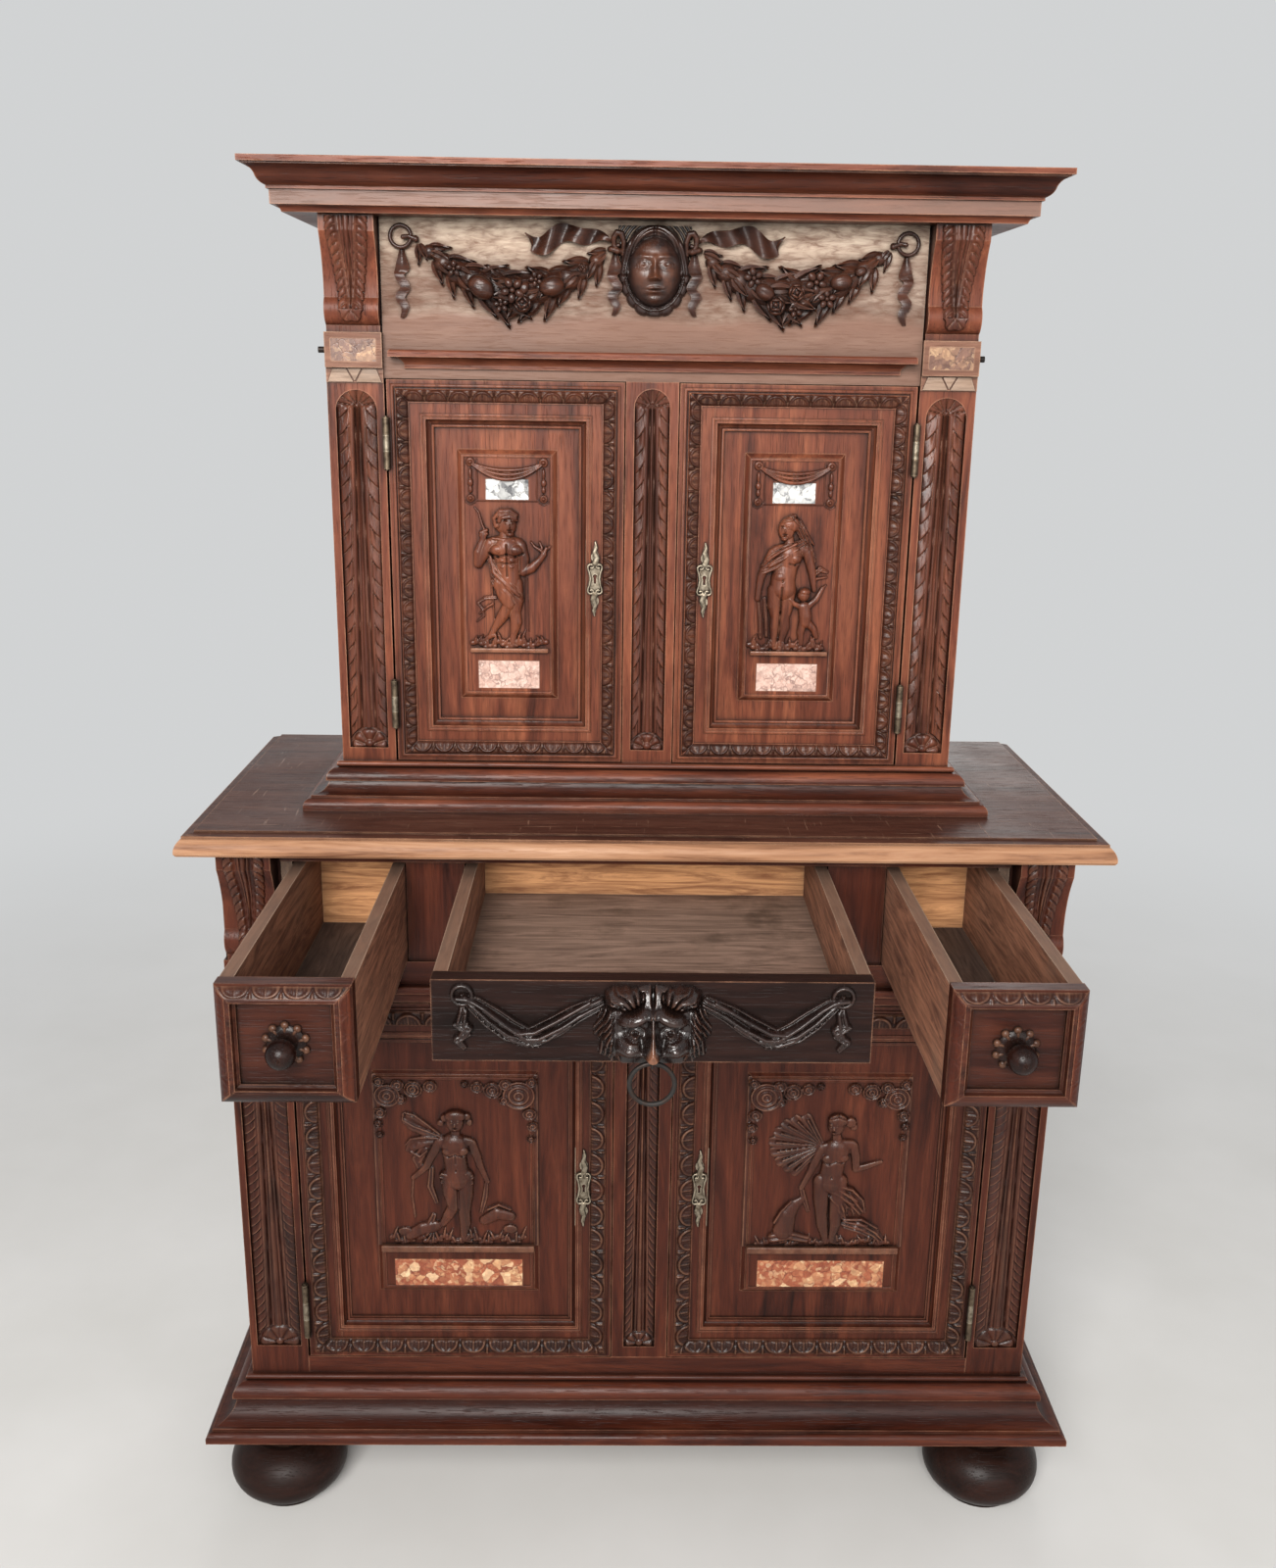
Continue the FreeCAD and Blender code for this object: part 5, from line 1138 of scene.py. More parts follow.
def herdsman():
    """A capped figure that faces right, a staff at the shoulder, one forearm raised, a cloth at the hips."""
    limbs = chains(
        line=[
            [(-38, 1310, 1.0, 0.4), (-33, 1304, 1.4, 0.8), (-30, 1293, 1.6, 1.4), (-26, 1283, 1.6, 2.4)],
            [(-21, 1262, 1.0, 1.4), (-19, 1226, 1.0, 1.0), (-16, 1166, 1.0, 0.8)],
            [(20, 1231, 0.9, 0.3), (20.5, 1166, 0.9, 0.3)],
            [(23, 1228, 0.8, 0.2), (24.5, 1166, 0.8, 0.2)],
            [(-18, 1198, 2.0, 0.9), (-25, 1194, 1.8, 0.8), (-34, 1186, 1.2, 0.4)],
            [(-31, 1281, 2.4, 2.4), (-24, 1284, 2.2, 2.6)],
            [(-31, 1277.5, 2.2, 2.6), (-24, 1280, 2.2, 2.8)],
            [(42, 1257, 2.8, 2.4), (45, 1264, 2.0, 2.2)],
            [(39, 1261, 2.4, 2.4), (31, 1266, 1.8, 1.6), (27, 1271, 1.2, 0.8)],
            [(43, 1261, 2.2, 2.2), (50, 1266, 1.4, 0.8)],
            [(40, 1264, 1.8, 2), (37, 1271, 1.2, 1)],
            [(-20, 1254, 2.0, 3.4), (-16, 1236, 2.2, 5.4), (-2, 1222, 2.4, 7.4), (13, 1209, 2.0, 6.0)],
            [(-15, 1228, 1.8, 5.4), (-3, 1213, 2.0, 6.8), (7, 1199, 1.8, 5.4)],
            [(-17, 1275, 1.6, 5.2), (-6, 1274, 1.8, 6.2), (8, 1273, 1.6, 5.4)],
            [(-13, 1289, 2.4, 6.0), (-15, 1298, 2.6, 6.4), (-8, 1306, 2.8, 7.0), (3, 1307, 2.6, 7.0),
             (11, 1302, 2.2, 6.4)],
            [(-9, 1295, 2.4, 7.2), (-8, 1301, 2.6, 7.6), (0, 1303.5, 2.6, 8.0), (10, 1298.5, 2.2, 7.2)],
            [(-5, 1299, 2.2, 7.8), (3, 1300, 2.4, 8.2), (11, 1296, 1.6, 6.8)],
        ],
        fold=[
            [(-15, 1206, 3.0, 1.0), (-27, 1205, 2.6, 0.9), (-36, 1199, 1.8, 0.7), (-30, 1192, 2.2, 0.8),
             (-29, 1184, 2, 0.7), (-37, 1177, 1.4, 0.4)],
        ],
        body=[
            [(7, 1222, 10.5, 0.8), (9, 1203, 9.6, 1.0), (7.5, 1188, 7.2, 1.2), (9, 1177, 7.4, 0.8),
             (6, 1161, 4.4, 0.8), (5, 1154, 4.2, 0.8)],
            [(5, 1154, 3.8, 1.0), (13, 1150.5, 2.8, 0.8)],
            [(-7, 1222, 11, 2.0), (-2, 1208, 10.2, 2.6), (1.5, 1198, 7.6, 3.2)],
            [(1.5, 1198, 7.2, 2.6), (-6, 1185, 7.2, 1.6), (-16, 1169, 4.2, 1.0), (-20, 1162, 3.6, 1.0)],
            [(-19, 1161, 3.6, 1.2), (-27, 1156, 2.6, 1.0)],
            [(-1, 1262, 18, 0.2), (-1, 1250, 15.6, 0.6), (0, 1237, 14.4, 0.8), (0, 1224, 15, 0.6)],
            [(-16, 1269, 8, 1.6), (-2, 1272, 8, 2.0), (12, 1268, 7.6, 1.6)],
            [(-3, 1284, 6.4, 2.2), (-3, 1273, 7.2, 2.4)],
            [(-20, 1268, 7.6, 2.2), (-28, 1256, 6.8, 2.0), (-34, 1245, 5.4, 2.0)],
            [(-34.5, 1245, 5.4, 2.2), (-34, 1258, 5.8, 2.6), (-29, 1272, 3.8, 3.0), (-27, 1279, 3.6, 3.4)],
            [(15, 1266, 7.2, 2.2), (19, 1251, 6.4, 1.8), (18, 1237, 5.6, 1.8)],
            [(18, 1236, 5.4, 2.2), (28, 1241, 5.8, 2.4), (37, 1250, 4.0, 2.8), (42, 1257, 3.6, 3.0)],
        ],
        cloth=[
            [(-20, 1250, 3.4, 4.0), (-13, 1235, 7.5, 4.6), (2, 1220, 10, 5.0), (11, 1208, 7, 4.0)],
            [(-15, 1226, 5, 4.0), (-4, 1213, 8.5, 4.8), (5, 1199, 5, 4.2)],
        ],
    )
    domes = [(-4.5, 1294, 12.5, 13.5, 7.6), (1, 1290.5, 9.4, 12, 8.8), (3, 1280, 5.0, 3.6, 8.8),
             (-1.5, 1295.4, 3.4, 1.4, 9.8), (6, 1295.4, 3.0, 1.4, 9.8), (-1.5, 1292.4, 2.4, 1.5, 9.4),
             (6, 1292.4, 2.2, 1.5, 9.4), (3, 1289.4, 1.8, 4.4, 10.4), (3, 1283, 3.4, 1.1, 9.8),
             (-10.5, 1290, 2.6, 4.2, 8.6), (-11, 1262, 10.5, 7.2, 10.2, 8), (8.5, 1262, 10, 7.2, 10.2, -8),
             (-6, 1250, 5.4, 3.6, 9.4), (5, 1250, 5.4, 3.6, 9.4), (-5.5, 1242.5, 5, 3.6, 9.2),
             (4.5, 1242.5, 5, 3.6, 9.2), (0, 1233, 9, 5.5, 8.8)]
    cuts = [(1.0, 1.6, [(-1, 1268), (-0.5, 1232)]),
            (1.1, 1.8, [(-21, 1258), (-11, 1254), (-1, 1257), (9, 1254), (18, 1258)]),
            (0.9, 1.2, [(-11, 1246.5), (10, 1246.5)]), (0.7, 1.0, [(0.5, 1284.6), (5.5, 1284.6)])]
    return limbs + rocks(-42, 44, 1147, 1166, 17, 0.4), domes, [], cuts


def shepherdess():
    """A long-haired figure that faces left, with a shawl, and at its side a child that reaches up."""
    limbs = chains(
        fold=[
            [(-37, 1206, 3, 0.4), (-34, 1182, 3.6, 0.5), (-33, 1162, 3, 0.4)],
            [(-30, 1208, 3, 0.4), (-27, 1184, 3.6, 0.5), (-26, 1164, 3, 0.4)],
            [(26, 1236, 3.6, 0.8), (34, 1243, 4.2, 1.0), (42, 1240, 2.6, 0.6)],
            [(-32, 1240, 3.4, 4.0), (-18, 1247, 4.4, 5.4), (-4, 1256, 4.2, 6.0), (8, 1264, 3.2, 5.6)],
        ],
        line=[
            [(30, 1232, 2.2, 0.8), (42, 1234, 1.6, 0.5)],
            [(-28, 1254, 1.8, 5.4), (-14, 1264, 2.0, 7.4), (4, 1273, 1.8, 6.6)],
            [(-26, 1247, 1.8, 6.0), (-10, 1256, 2.0, 7.6), (6, 1267, 1.8, 7.0)],
            [(8, 1299, 1.8, 4.4), (17, 1284, 1.8, 3.4), (25, 1272, 1.4, 1.4)],
            [(38, 1221, 1.6, 1.4), (42, 1225, 1.2, 0.8)],
        ],
        body=[
            [(-3, 1218, 11, 0.8), (-4, 1200, 9, 1.0), (-6, 1186, 6.8, 1.2), (-5, 1174, 6.4, 0.8),
             (-8, 1158, 3.8, 0.8), (-8, 1154, 3.6, 0.8)],
            [(-8, 1153, 3.4, 1.0), (-3, 1150, 2.6, 0.8)],
            [(-16, 1218, 11, 1.4), (-17, 1200, 9.4, 1.6), (-15, 1186, 7.0, 1.8), (-16, 1174, 6.6, 1.2),
             (-17, 1158, 4.0, 1.0), (-17, 1154, 3.6, 1.0)],
            [(-17, 1153, 3.4, 1.2), (-24, 1150, 2.6, 0.8)],
            [(-2, 1260, 16, 0.4), (-5, 1246, 13.4, 0.8), (-9, 1232, 14.5, 1.0), (-9, 1220, 16, 0.8)],
            [(-18, 1264, 7, 1.6), (-2, 1268, 7.4, 2.0), (15, 1265, 7, 1.6)],
            [(-4, 1282, 5.2, 2.2), (-3, 1270, 6.4, 2.4)],
            [(-22, 1262, 6.4, 2.2), (-30, 1247, 5.6, 2.0), (-35, 1233, 4.6, 2.0)],
            [(-35, 1233, 4.6, 2.0), (-37, 1218, 3.8, 2.2), (-38, 1208, 3.4, 2.2)],
            [(18, 1262, 6.2, 1.8), (23, 1246, 5.4, 1.6), (25, 1238, 4.8, 1.6)],
            [(25, 1238, 4.6, 1.6), (27, 1226, 3.6, 1.8), (28, 1219, 3.0, 1.8)],
            [(17, 1199, 7.4, 2.0), (19, 1188, 7.8, 2.2), (19, 1180, 7.0, 2.0)],
            [(17, 1181, 5.4, 2.0), (14, 1168, 4.4, 1.6), (15, 1155, 3.0, 1.4)],
            [(22, 1180, 5.4, 1.6), (30, 1172, 4.2, 1.4), (33, 1163, 3.0, 1.2)],
            [(22, 1200, 4.0, 2.4), (31, 1208, 3.4, 2.2), (38, 1221, 2.6, 1.6)],
            [(12, 1200, 3.8, 3.4), (5, 1203, 3.0, 4.6), (0, 1208, 2.4, 5.4)],
        ],
        cloth=[
            [(-31, 1247, 5, 4.0), (-20, 1257, 8, 4.8), (-2, 1267, 7.4, 5.2), (12, 1274, 4.6, 4.6)],
            [(0, 1302, 5.0, 4.4), (8, 1290, 5.6, 4.4), (15, 1277, 5.0, 3.4), (22, 1266, 3.4, 2.0),
             (28, 1252, 2.0, 0.8)],
        ],
    )
    domes = [(-7.5, 1289, 9.6, 12.5, 8.2), (-3, 1295, 11.5, 9.4, 9.0), (-9.5, 1278.6, 4.2, 3, 8.0),
             (-12.5, 1293.6, 2.6, 1.2, 9.2), (-6, 1293.6, 3.0, 1.2, 9.4), (-12.5, 1291, 1.9, 1.3, 8.8),
             (-6, 1291, 2.1, 1.3, 9.0), (-9.5, 1288, 1.6, 4.0, 9.8), (-9.5, 1282.4, 3.0, 1.0, 9.2),
             (4, 1256, 7.4, 6.6, 9.6), (-11, 1234, 10, 8.6, 9.4), (15.5, 1213, 7.4, 7.6, 8.4),
             (16.5, 1217, 7.2, 5, 8.8)]
    cuts = [(1.0, 1.8, [(-10.5, 1222), (-11, 1192), (-12.5, 1160)]),
            (0.9, 1.4, [(-10, 1231), (-10, 1229.5)]), (0.7, 1.0, [(-12, 1283.8), (-7.2, 1283.8)]),
            (0.9, 1.2, [(-14, 1298), (0, 1301), (8, 1294)]),
            (0.9, 1.2, [(-10, 1303), (4, 1303), (12, 1293)]),
            (1.0, 1.4, [(-3, 1250), (4, 1248.5), (11, 1252)])]
    return limbs + rocks(-46, 40, 1147, 1164, 17, 1.7), domes, [], cuts


def clouds(hand):
    """Banks of curled clouds along the top and down the corners of a lower tablet."""
    places = ((-83, 609, 16), (-51, 618, 11.5), (-30, 622, 8.5), (-70, 624, 8), (-93, 628, 7),
              (-92, 586, 8), (-95, 571, 6), (-93, 556, 5), (-66, 604, 7), (78, 610, 20), (46, 617, 11.5),
              (27, 621, 8), (62, 625, 8), (94, 628, 7), (91, 585, 8.5), (95, 568, 7), (93, 551, 5.5),
              (60, 604, 7), (12, 625, 5))
    return [(hand * x, z, r) for x, z, r in places]


def standing_nymph():
    """A standing figure seen from the front, with a lobed cloth that blows out behind one shoulder."""
    limbs = chains(
        fan=[
            [(-18, 552, 4, 0.4), (-36, 562, 9, 0.5), (-50, 571, 11, 0.5), (-58, 576, 8, 0.4)],
            [(-18, 549, 4, 0.4), (-38, 548, 8, 0.6), (-52, 543, 9, 0.5), (-57, 534, 6, 0.3)],
            [(-40, 534, 6, 0.5), (-48, 522, 7, 0.4), (-46, 511, 4, 0.3)],
        ],
        line=[
            [(-18, 553, 1.4, 1.8), (-34, 561, 1.5, 2.4), (-52, 568, 1.4, 2.2), (-65, 576, 1.2, 1.4),
             (-64, 585, 1.2, 1.2)],
            [(-20, 551, 1.4, 1.8), (-38, 553, 1.6, 2.6), (-56, 550, 1.4, 1.8), (-62, 542, 1.2, 1.0)],
            [(-62, 586, 1.3, 1.4), (-50, 583, 1.4, 2.2), (-34, 570, 1.4, 2.4), (-20, 557, 1.2, 1.8)],
            [(-56, 532, 1.3, 1.4), (-45, 526, 1.4, 2.2), (-36, 534, 1.3, 2.0)],
            [(-54, 494, 1.4, 0.6), (-56, 470, 1.4, 0.5), (-53, 440, 1.2, 0.4)],
            [(-18, 504, 1.6, 5.0), (-4, 500, 1.8, 7.4), (12, 504, 1.6, 6.0)],
            [(38, 452, 1.8, 2.0), (52, 459, 2.0, 2.4), (66, 452, 1.8, 1.6)],
        ],
        fold=[
            [(-31, 508, 4, 0.5), (-33, 484, 5, 0.6), (-26, 462, 3.4, 0.4)],
            [(37, 491, 3, 0.5), (35, 470, 4.4, 0.5), (30, 448, 3.4, 0.4)],
            [(-18, 500, 3.8, 4.4), (0, 494, 4.6, 6.6), (18, 499, 3.8, 4.4)],
            [(-17, 492, 3.4, 4.4), (2, 486, 4.0, 6.2), (18, 491, 3.2, 4.4)],
            [(-40, 420, 7, 1.6), (-34, 432, 6, 1.6), (-30, 442, 4, 1.0)],
        ],
        body=[
            [(9, 498, 13, 0.6), (10, 472, 10.4, 0.8), (8.5, 448, 7.8, 1.0), (9.5, 432, 7.4, 0.7),
             (7.5, 414, 4.6, 0.7), (8, 409, 4.2, 0.7)],
            [(8, 408, 3.8, 0.9), (16, 404.5, 2.8, 0.7)],
            [(-7, 498, 13, 0.8), (-7, 476, 11, 1.6), (-4, 457, 8.2, 2.4)],
            [(-4, 457, 7.6, 2.2), (-11, 444, 7, 1.6), (-18, 432, 4.6, 1.0), (-22, 428, 3.4, 0.8)],
            [(-2, 542, 17.5, 0.2), (-2, 526, 14.6, 0.6), (0, 510, 14.8, 0.8), (1, 496, 17.5, 0.8)],
            [(-19, 546, 7, 1.2), (-1, 550, 7.4, 1.6), (17, 546, 7, 1.2)],
            [(-0.5, 566, 5.4, 1.8), (-0.5, 553, 6.4, 2.0)],
            [(-21, 545, 6.4, 1.4), (-31, 526, 5.6, 1.2), (-37, 512, 4.6, 1.2)],
            [(-37, 512, 4.6, 1.2), (-46, 503, 3.8, 1.2), (-54, 496, 3.2, 1.0)],
            [(19, 545, 6.4, 1.4), (26, 526, 5.6, 1.2), (29, 514, 4.6, 1.2)],
            [(29, 514, 4.6, 1.2), (34, 502, 3.8, 1.2), (38, 491, 3.2, 1.0)],
            [(-60, 414, 7, 0.6), (-44, 424, 9, 0.8), (-28, 428, 8, 0.8)],
            [(34, 436, 7, 0.6), (50, 446, 9, 1.0), (66, 442, 7, 0.6)],
        ],
    )
    domes = [(-0.5, 575, 10.6, 13.5, 7.8), (0, 583, 13, 8, 8.6), (-13, 580, 5, 5.4, 5.6),
             (-18, 573, 4.6, 4.6, 4.6), (14, 582, 5, 5, 5.4), (17, 574, 4, 5, 4.4), (-9, 536, 8, 7, 9.2),
             (8, 536, 8, 7, 9.2), (0, 513, 11, 9.5, 8.8), (-0.5, 572.5, 1.8, 4.4, 9.4),
             (-4.6, 578.4, 3, 1.3, 9.0), (3.6, 578.4, 3, 1.3, 9.0), (-4.4, 575.6, 2.2, 1.4, 8.8),
             (3.4, 575.6, 2.2, 1.4, 8.8), (-0.5, 566, 3.2, 1.1, 8.8), (52, 446, 9, 7, 5),
             (66, 424, 9, 6, 3.6), (-66, 420, 9, 6, 3.4)]
    cuts = [(1.1, 1.6, [(1, 482), (1.5, 452)]), (1.0, 1.2, [(-0.5, 530), (0, 520)]),
            (1.0, 1.4, [(0, 510.5), (0, 509)]),
            (1.0, 1.3, [(-16, 531), (-9, 528.5), (-0.5, 532), (8, 528.5), (15, 531)]),
            (0.9, 1.0, [(-3.2, 567.6), (2.2, 567.6)])]
    return limbs + rocks(-84, 84, 404, 426, 24, 2.2), domes, clouds(1), cuts


def sea_nymph():
    """A standing figure that turns right, one hand held out, a fluted fan of cloth behind the shoulder."""
    limbs = []
    root = 543
    for out, up in ((-27, 581), (-40, 579), (-52, 573), (-61, 562), (-67, 549), (-65, 535), (-58, 522),
                    (-49, 514), (-40, 508)):
        limbs.append(("fan", [(-4, root, 2, 0.4), (out * 0.6 - 2, root + (up - root) * 0.6, 5.4, 0.5),
                              (out, up, 7.4, 0.5)]))
        limbs.append(("line", [(-6, root, 0.8, 1.4), (out * 0.95, root + (up - root) * 0.95, 1.3, 2.6)]))
    limbs += chains(
        fold=[
            [(-30, 486, 3.4, 0.6), (-26, 470, 4.4, 0.6), (-20, 452, 3, 0.4)],
            [(-62, 414, 8, 2.0), (-44, 418, 8, 2.4), (-22, 412, 6, 1.6)],
        ],
        body=[
            [(-50, 424, 14, 0.2), (-46, 446, 11, 0.6), (-36, 462, 7, 0.6), (-26, 470, 4, 0.4)],
            [(-3, 494, 13, 0.8), (-4, 470, 10.6, 1.0), (-3, 448, 7.8, 1.2), (-1, 432, 7.4, 0.8),
             (3, 414, 4.6, 0.7), (3, 409, 4.2, 0.7)],
            [(3, 408, 3.8, 0.9), (-5, 404.5, 2.8, 0.7)],
            [(15, 494, 13, 1.4), (16, 472, 11, 2.0), (14, 450, 8, 2.2), (15, 434, 7.4, 1.6),
             (12, 416, 4.6, 1.0), (12, 409, 4.2, 1.0)],
            [(12, 408, 3.8, 1.2), (19, 404.5, 2.8, 0.8)],
            [(12, 538, 17, 0.2), (9, 522, 14.4, 0.6), (7, 506, 14.6, 0.8), (6, 494, 17, 0.8)],
            [(-4, 541, 6.8, 1.2), (13, 547, 7.4, 1.6), (30, 546, 6.8, 1.2)],
            [(10, 563, 5.2, 1.8), (12, 551, 6.4, 2.0)],
            [(-6, 540, 6.2, 1.6), (-14, 522, 5.6, 1.4), (-19, 509, 4.6, 1.4)],
            [(-19, 509, 4.6, 1.4), (-25, 496, 3.8, 1.2), (-30, 484, 3.2, 1.0)],
            [(32, 545, 6.2, 1.6), (36, 528, 5.6, 1.6), (37, 513, 4.8, 1.8)],
            [(37, 512, 4.6, 1.8), (50, 516, 4.0, 1.8), (61, 520, 3.2, 1.6), (68, 522, 2.4, 1.2)],
        ],
        line=[
            [(-62, 436, 1.8, 3.0), (-54, 452, 1.8, 3.6), (-42, 466, 1.6, 2.6)],
            [(26, 440, 1.8, 2.4), (48, 441, 1.8, 3.4), (68, 428, 1.6, 2.0)],
            [(-4, 494, 1.8, 5.0), (14, 492, 2.0, 7.0), (34, 484, 2.0, 5.0), (48, 468, 1.8, 2.4),
             (52, 450, 1.4, 1.0)],
            [(4, 484, 1.8, 6.4), (20, 476, 2.0, 6.6), (34, 460, 1.8, 3.4), (38, 446, 1.4, 1.2)],
            [(6, 474, 1.6, 6.4), (16, 464, 1.8, 6.4), (24, 446, 1.6, 3.2)],
        ],
        cloth=[
            [(30, 434, 8, 1.0), (48, 430, 10, 1.2), (64, 420, 8, 0.8), (74, 410, 5, 0.5)],
            [(0, 490, 5, 4.0), (16, 482, 10, 4.6), (32, 470, 11, 3.0), (44, 454, 8, 1.2)],
            [(14, 474, 8, 4.4), (20, 458, 9, 3.6), (24, 446, 6, 2.0)],
        ],
    )
    domes = [(9, 573, 10, 13, 7.8), (11, 580, 12, 8.6, 8.6), (27, 577, 7, 7, 5.6), (31, 571, 4.6, 5, 4.0),
             (6, 570.5, 1.7, 4.2, 9.4), (2.4, 576.4, 2.8, 1.2, 9.0), (9.8, 576.4, 3, 1.2, 9.0),
             (2.6, 573.7, 2, 1.3, 8.7), (9.6, 573.7, 2.2, 1.3, 8.8), (6, 564.4, 3, 1.1, 8.8),
             (1, 528, 7.6, 6.8, 8.8), (19, 530, 8, 7, 9.2), (7, 507, 10.5, 9, 8.8)]
    cuts = [(1.1, 1.6, [(5, 478), (6, 446)]), (1.0, 1.4, [(6, 504.5), (6, 503)]),
            (1.0, 1.3, [(-5, 522), (2, 521), (10, 525), (19, 522.5), (26, 526)]),
            (0.8, 1.0, [(3.4, 565.8), (8.6, 565.8)]), (1.0, 1.2, [(2, 584), (12, 587), (22, 582)])]
    return limbs + rocks(-84, 84, 404, 420, 22, 4.1), domes, clouds(-1), cuts


# For the doors of each stage: the width, pitch and lift of the leaf band; how far in the innermost bead is
# on both axes, and its width, height and setback; the area and grain of the figure's sheet, and its rise;
# the ledge's place, half length, lower and upper height and depth; the height of the key plate
DOORS = {
    "upper": ((14.2, 25, 3.0), (82.0, 81.5, 3.2, 1.3, 5), (-53, 53, 1142, 1368, 0.62), 1.25,
              (1, 46, 1140.5, 1146, 6), 0.86),
    "lower": ((19.2, 36, 3.6), (98.0, 98.5, 4.0, 1.6, 5), (-101, 101, 398, 637, 0.86), 1.1,
              (0, 96, 393, 402, 8), 1.06),
}
FIGURES = {"upper_left": herdsman, "upper_right": shepherdess, "lower_left": standing_nymph,
           "lower_right": sea_nymph}


def carve_doors(finish, leaf_finish, bead_finish, plate_finish):
    """On each door: a leaf band, beads, a figure in relief on its ledge and a cast key plate."""
    for door, figure in FIGURES.items():
        body = f"{door}_door"
        upper = door.startswith("upper")
        (width, pitch, lift), inner_bead, area, rise, shelf, tall = DOORS["upper" if upper else "lower"]
        lo, hi = span(f"{body}_moulding")
        ground = [face_of(f"{body}_moulding", lo.x + 0.4 + (width - 0.6) * step / 10, (lo.z + hi.z) / 2)
                  for step in range(11)]
        leafed_strips(f"{body}_leaf_band", lo.x, hi.x, lo.z, hi.z, width, pitch, ground, lift, body,
                      leaf_finish)
        lo, hi = span(f"{body}_frame")
        middle, front = (lo.x + hi.x) / 2, lo.y
        plane = front + 5
        rings = [(4.4, 4.4, 4.0, 2.2, 0), (36.6, 36.6, 3.4, 1.3, 0), (48.2, 48.2, 3.6, 2.8, 7.5), inner_bead]
        beads = [bead_ring(lo.x + in_x, hi.x - in_x, lo.z + in_z, hi.z - in_z, front + back, wide, proud)
                 for in_x, in_z, wide, proud, back in rings]
        settle(joined(f"{body}_beads", beads), body, bead_finish, 50)
        limbs, domes, curls, cuts = figure()
        if upper:
            swags, discs = tablet_festoon(1361)
            limbs, domes = limbs + swags, domes + discs
        carved_figure(f"{body}_figure", middle, plane, area, (limbs, domes, curls, cuts), rise, body, finish)
        aside, half, foot, head, out = shelf
        shelf = ledge(middle + aside, half, foot, head, plane, out)
        key_plate(body, front, (lo.z + hi.z) / 2, tall, plate_finish)
        settle(shelf, body, finish, 40)
        shelf.name = f"{body}_ledge"


# Drawers

def lion(finish):
    """A lion's head: heavy brows, ringed eyes, a long nose, round cheeks, tufted ears and a combed mane."""
    front = span("centre_drawer_front")[0].y
    x, z = field(-57, 57, 826.4, 910.2, 0.6)
    a = np.abs(x)
    height = 20 * np.sqrt(np.clip(1 - (x / 47) ** 2 - ((z - 862) / 46) ** 2, 0, 1))
    brow = np.sqrt(((a - 17) / 17) ** 2 + ((z - 880 + 0.3 * (a - 17)) / 8.5) ** 2)
    height += 12 * np.clip(1 - brow ** 2, 0, 1) ** 0.6 - mound(a, z, 17.5, 865, 10.5, 5.2, 9.5)
    eye = np.sqrt(((a - 16.5) / 7.0) ** 2 + ((z - 864) / 5.4) ** 2)
    height += (6.6 * np.sqrt(np.clip(1 - eye ** 2, 0, 1)) + 1.7 * line(eye - 1.1, 0.12)
               + 1.2 * line(eye - 0.55, 0.1))
    height -= mound(a, z, 16, 864, 1.8, 1.8, 2.6)
    height += mound(a, z, 21, 856, 9.5, 2.0, 2.4, 8)
    down = np.clip((890 - z) / 42, 0, 1.1)
    nose = (6 + 15 * down) * line(x, 2.6 + 4.0 * down ** 1.6) * (1 - fade(z, 884, 896)) * fade(z, 839, 845)
    height += nose + mound(x, z, 0, 847, 8, 4.2, 5) + mound(a, z, 7, 845.5, 3.4, 3.0, 4.0)
    height += mound(a, z, 23, 848, 12, 9, 13) - mound(a, z, 10, 853, 2.2, 10, 5, -14)
    height -= 12 * line(x, 1.5) * fade(z, 886, 893)
    comb = np.arctan2(z - 880, a - 10)
    ear = np.sqrt(((a - 28) / 21.5) ** 2 + ((z - 896) / 11.5) ** 2) * (1 + 0.06 * np.sin(comb * 22))
    locks = 1 - np.abs(np.sin(comb * 11 + 0.9 * np.sin(np.hypot(a - 10, z - 880) * 0.22)))
    lobes = 25 * np.clip(1 - ear ** 2, 0, 1) ** 0.6 + 2.0 - 5.0 * locks ** 2
    within = 1 - fade(ear, 0.9, 1.04)
    height = np.maximum(height * (1 - 0.5 * within), lobes * within)
    height -= mound(a, z, 33, 891, 6.5, 3.0, 9, -24) + mound(a, z, 24, 887, 13, 1.5, 5, -6)
    side_hair = fade(a, 35, 40) * (1 - fade(z, 884, 889))
    strands = np.abs(np.sin((a * 0.85 + 0.34 * (z - 868) + 2.2 * np.sin((z - 868) * 0.13)) * 0.8))
    height += side_hair * (4.4 * strands + mound(a, z, 44, 860, 9, 24, 8))
    way = np.arctan2(z - 866, a)
    ragged = np.sqrt((x / 56.5) ** 2 + ((z - 866) / 60) ** 2) * (1 + 0.05 * np.sin(way * 15))
    height *= np.clip((1.0 - ragged) / 0.14, 0, 1) ** 0.6 * np.clip((909.6 - z) / 5, 0, 1) ** 0.5
    under = 4.8 + 70 * np.clip((z - 838.5) / 7, 0, 1) ** 1.3
    height = np.where(a < 30, np.minimum(height, under), np.minimum(height, under + 4 * (a - 30)))
    forward = front - np.where(height > 0.5, np.minimum(height, 41), SUNK)
    mask = carved_sheet("lion_mask_carved", x, forward, z, front + 1.2)
    settle(mask, "centre_drawer", finish, 70)
    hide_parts("lion_mask")
    axis = 831.9
    eye = hoop(0, front - 15, axis, 4.5, 1.2, fine=(20, 8))
    eye.matrix_world = (Matrix.Translation((0, (front - 15) * MM, axis * MM))
                        @ Matrix.Rotation(pi / 2, 4, "Y"))
    staple = [eye] + limb((0, front - 10.6, axis + 1.4, 1.6), (0, front - 3, axis + 4, 2.2))
    return joined("ring_staple", staple)


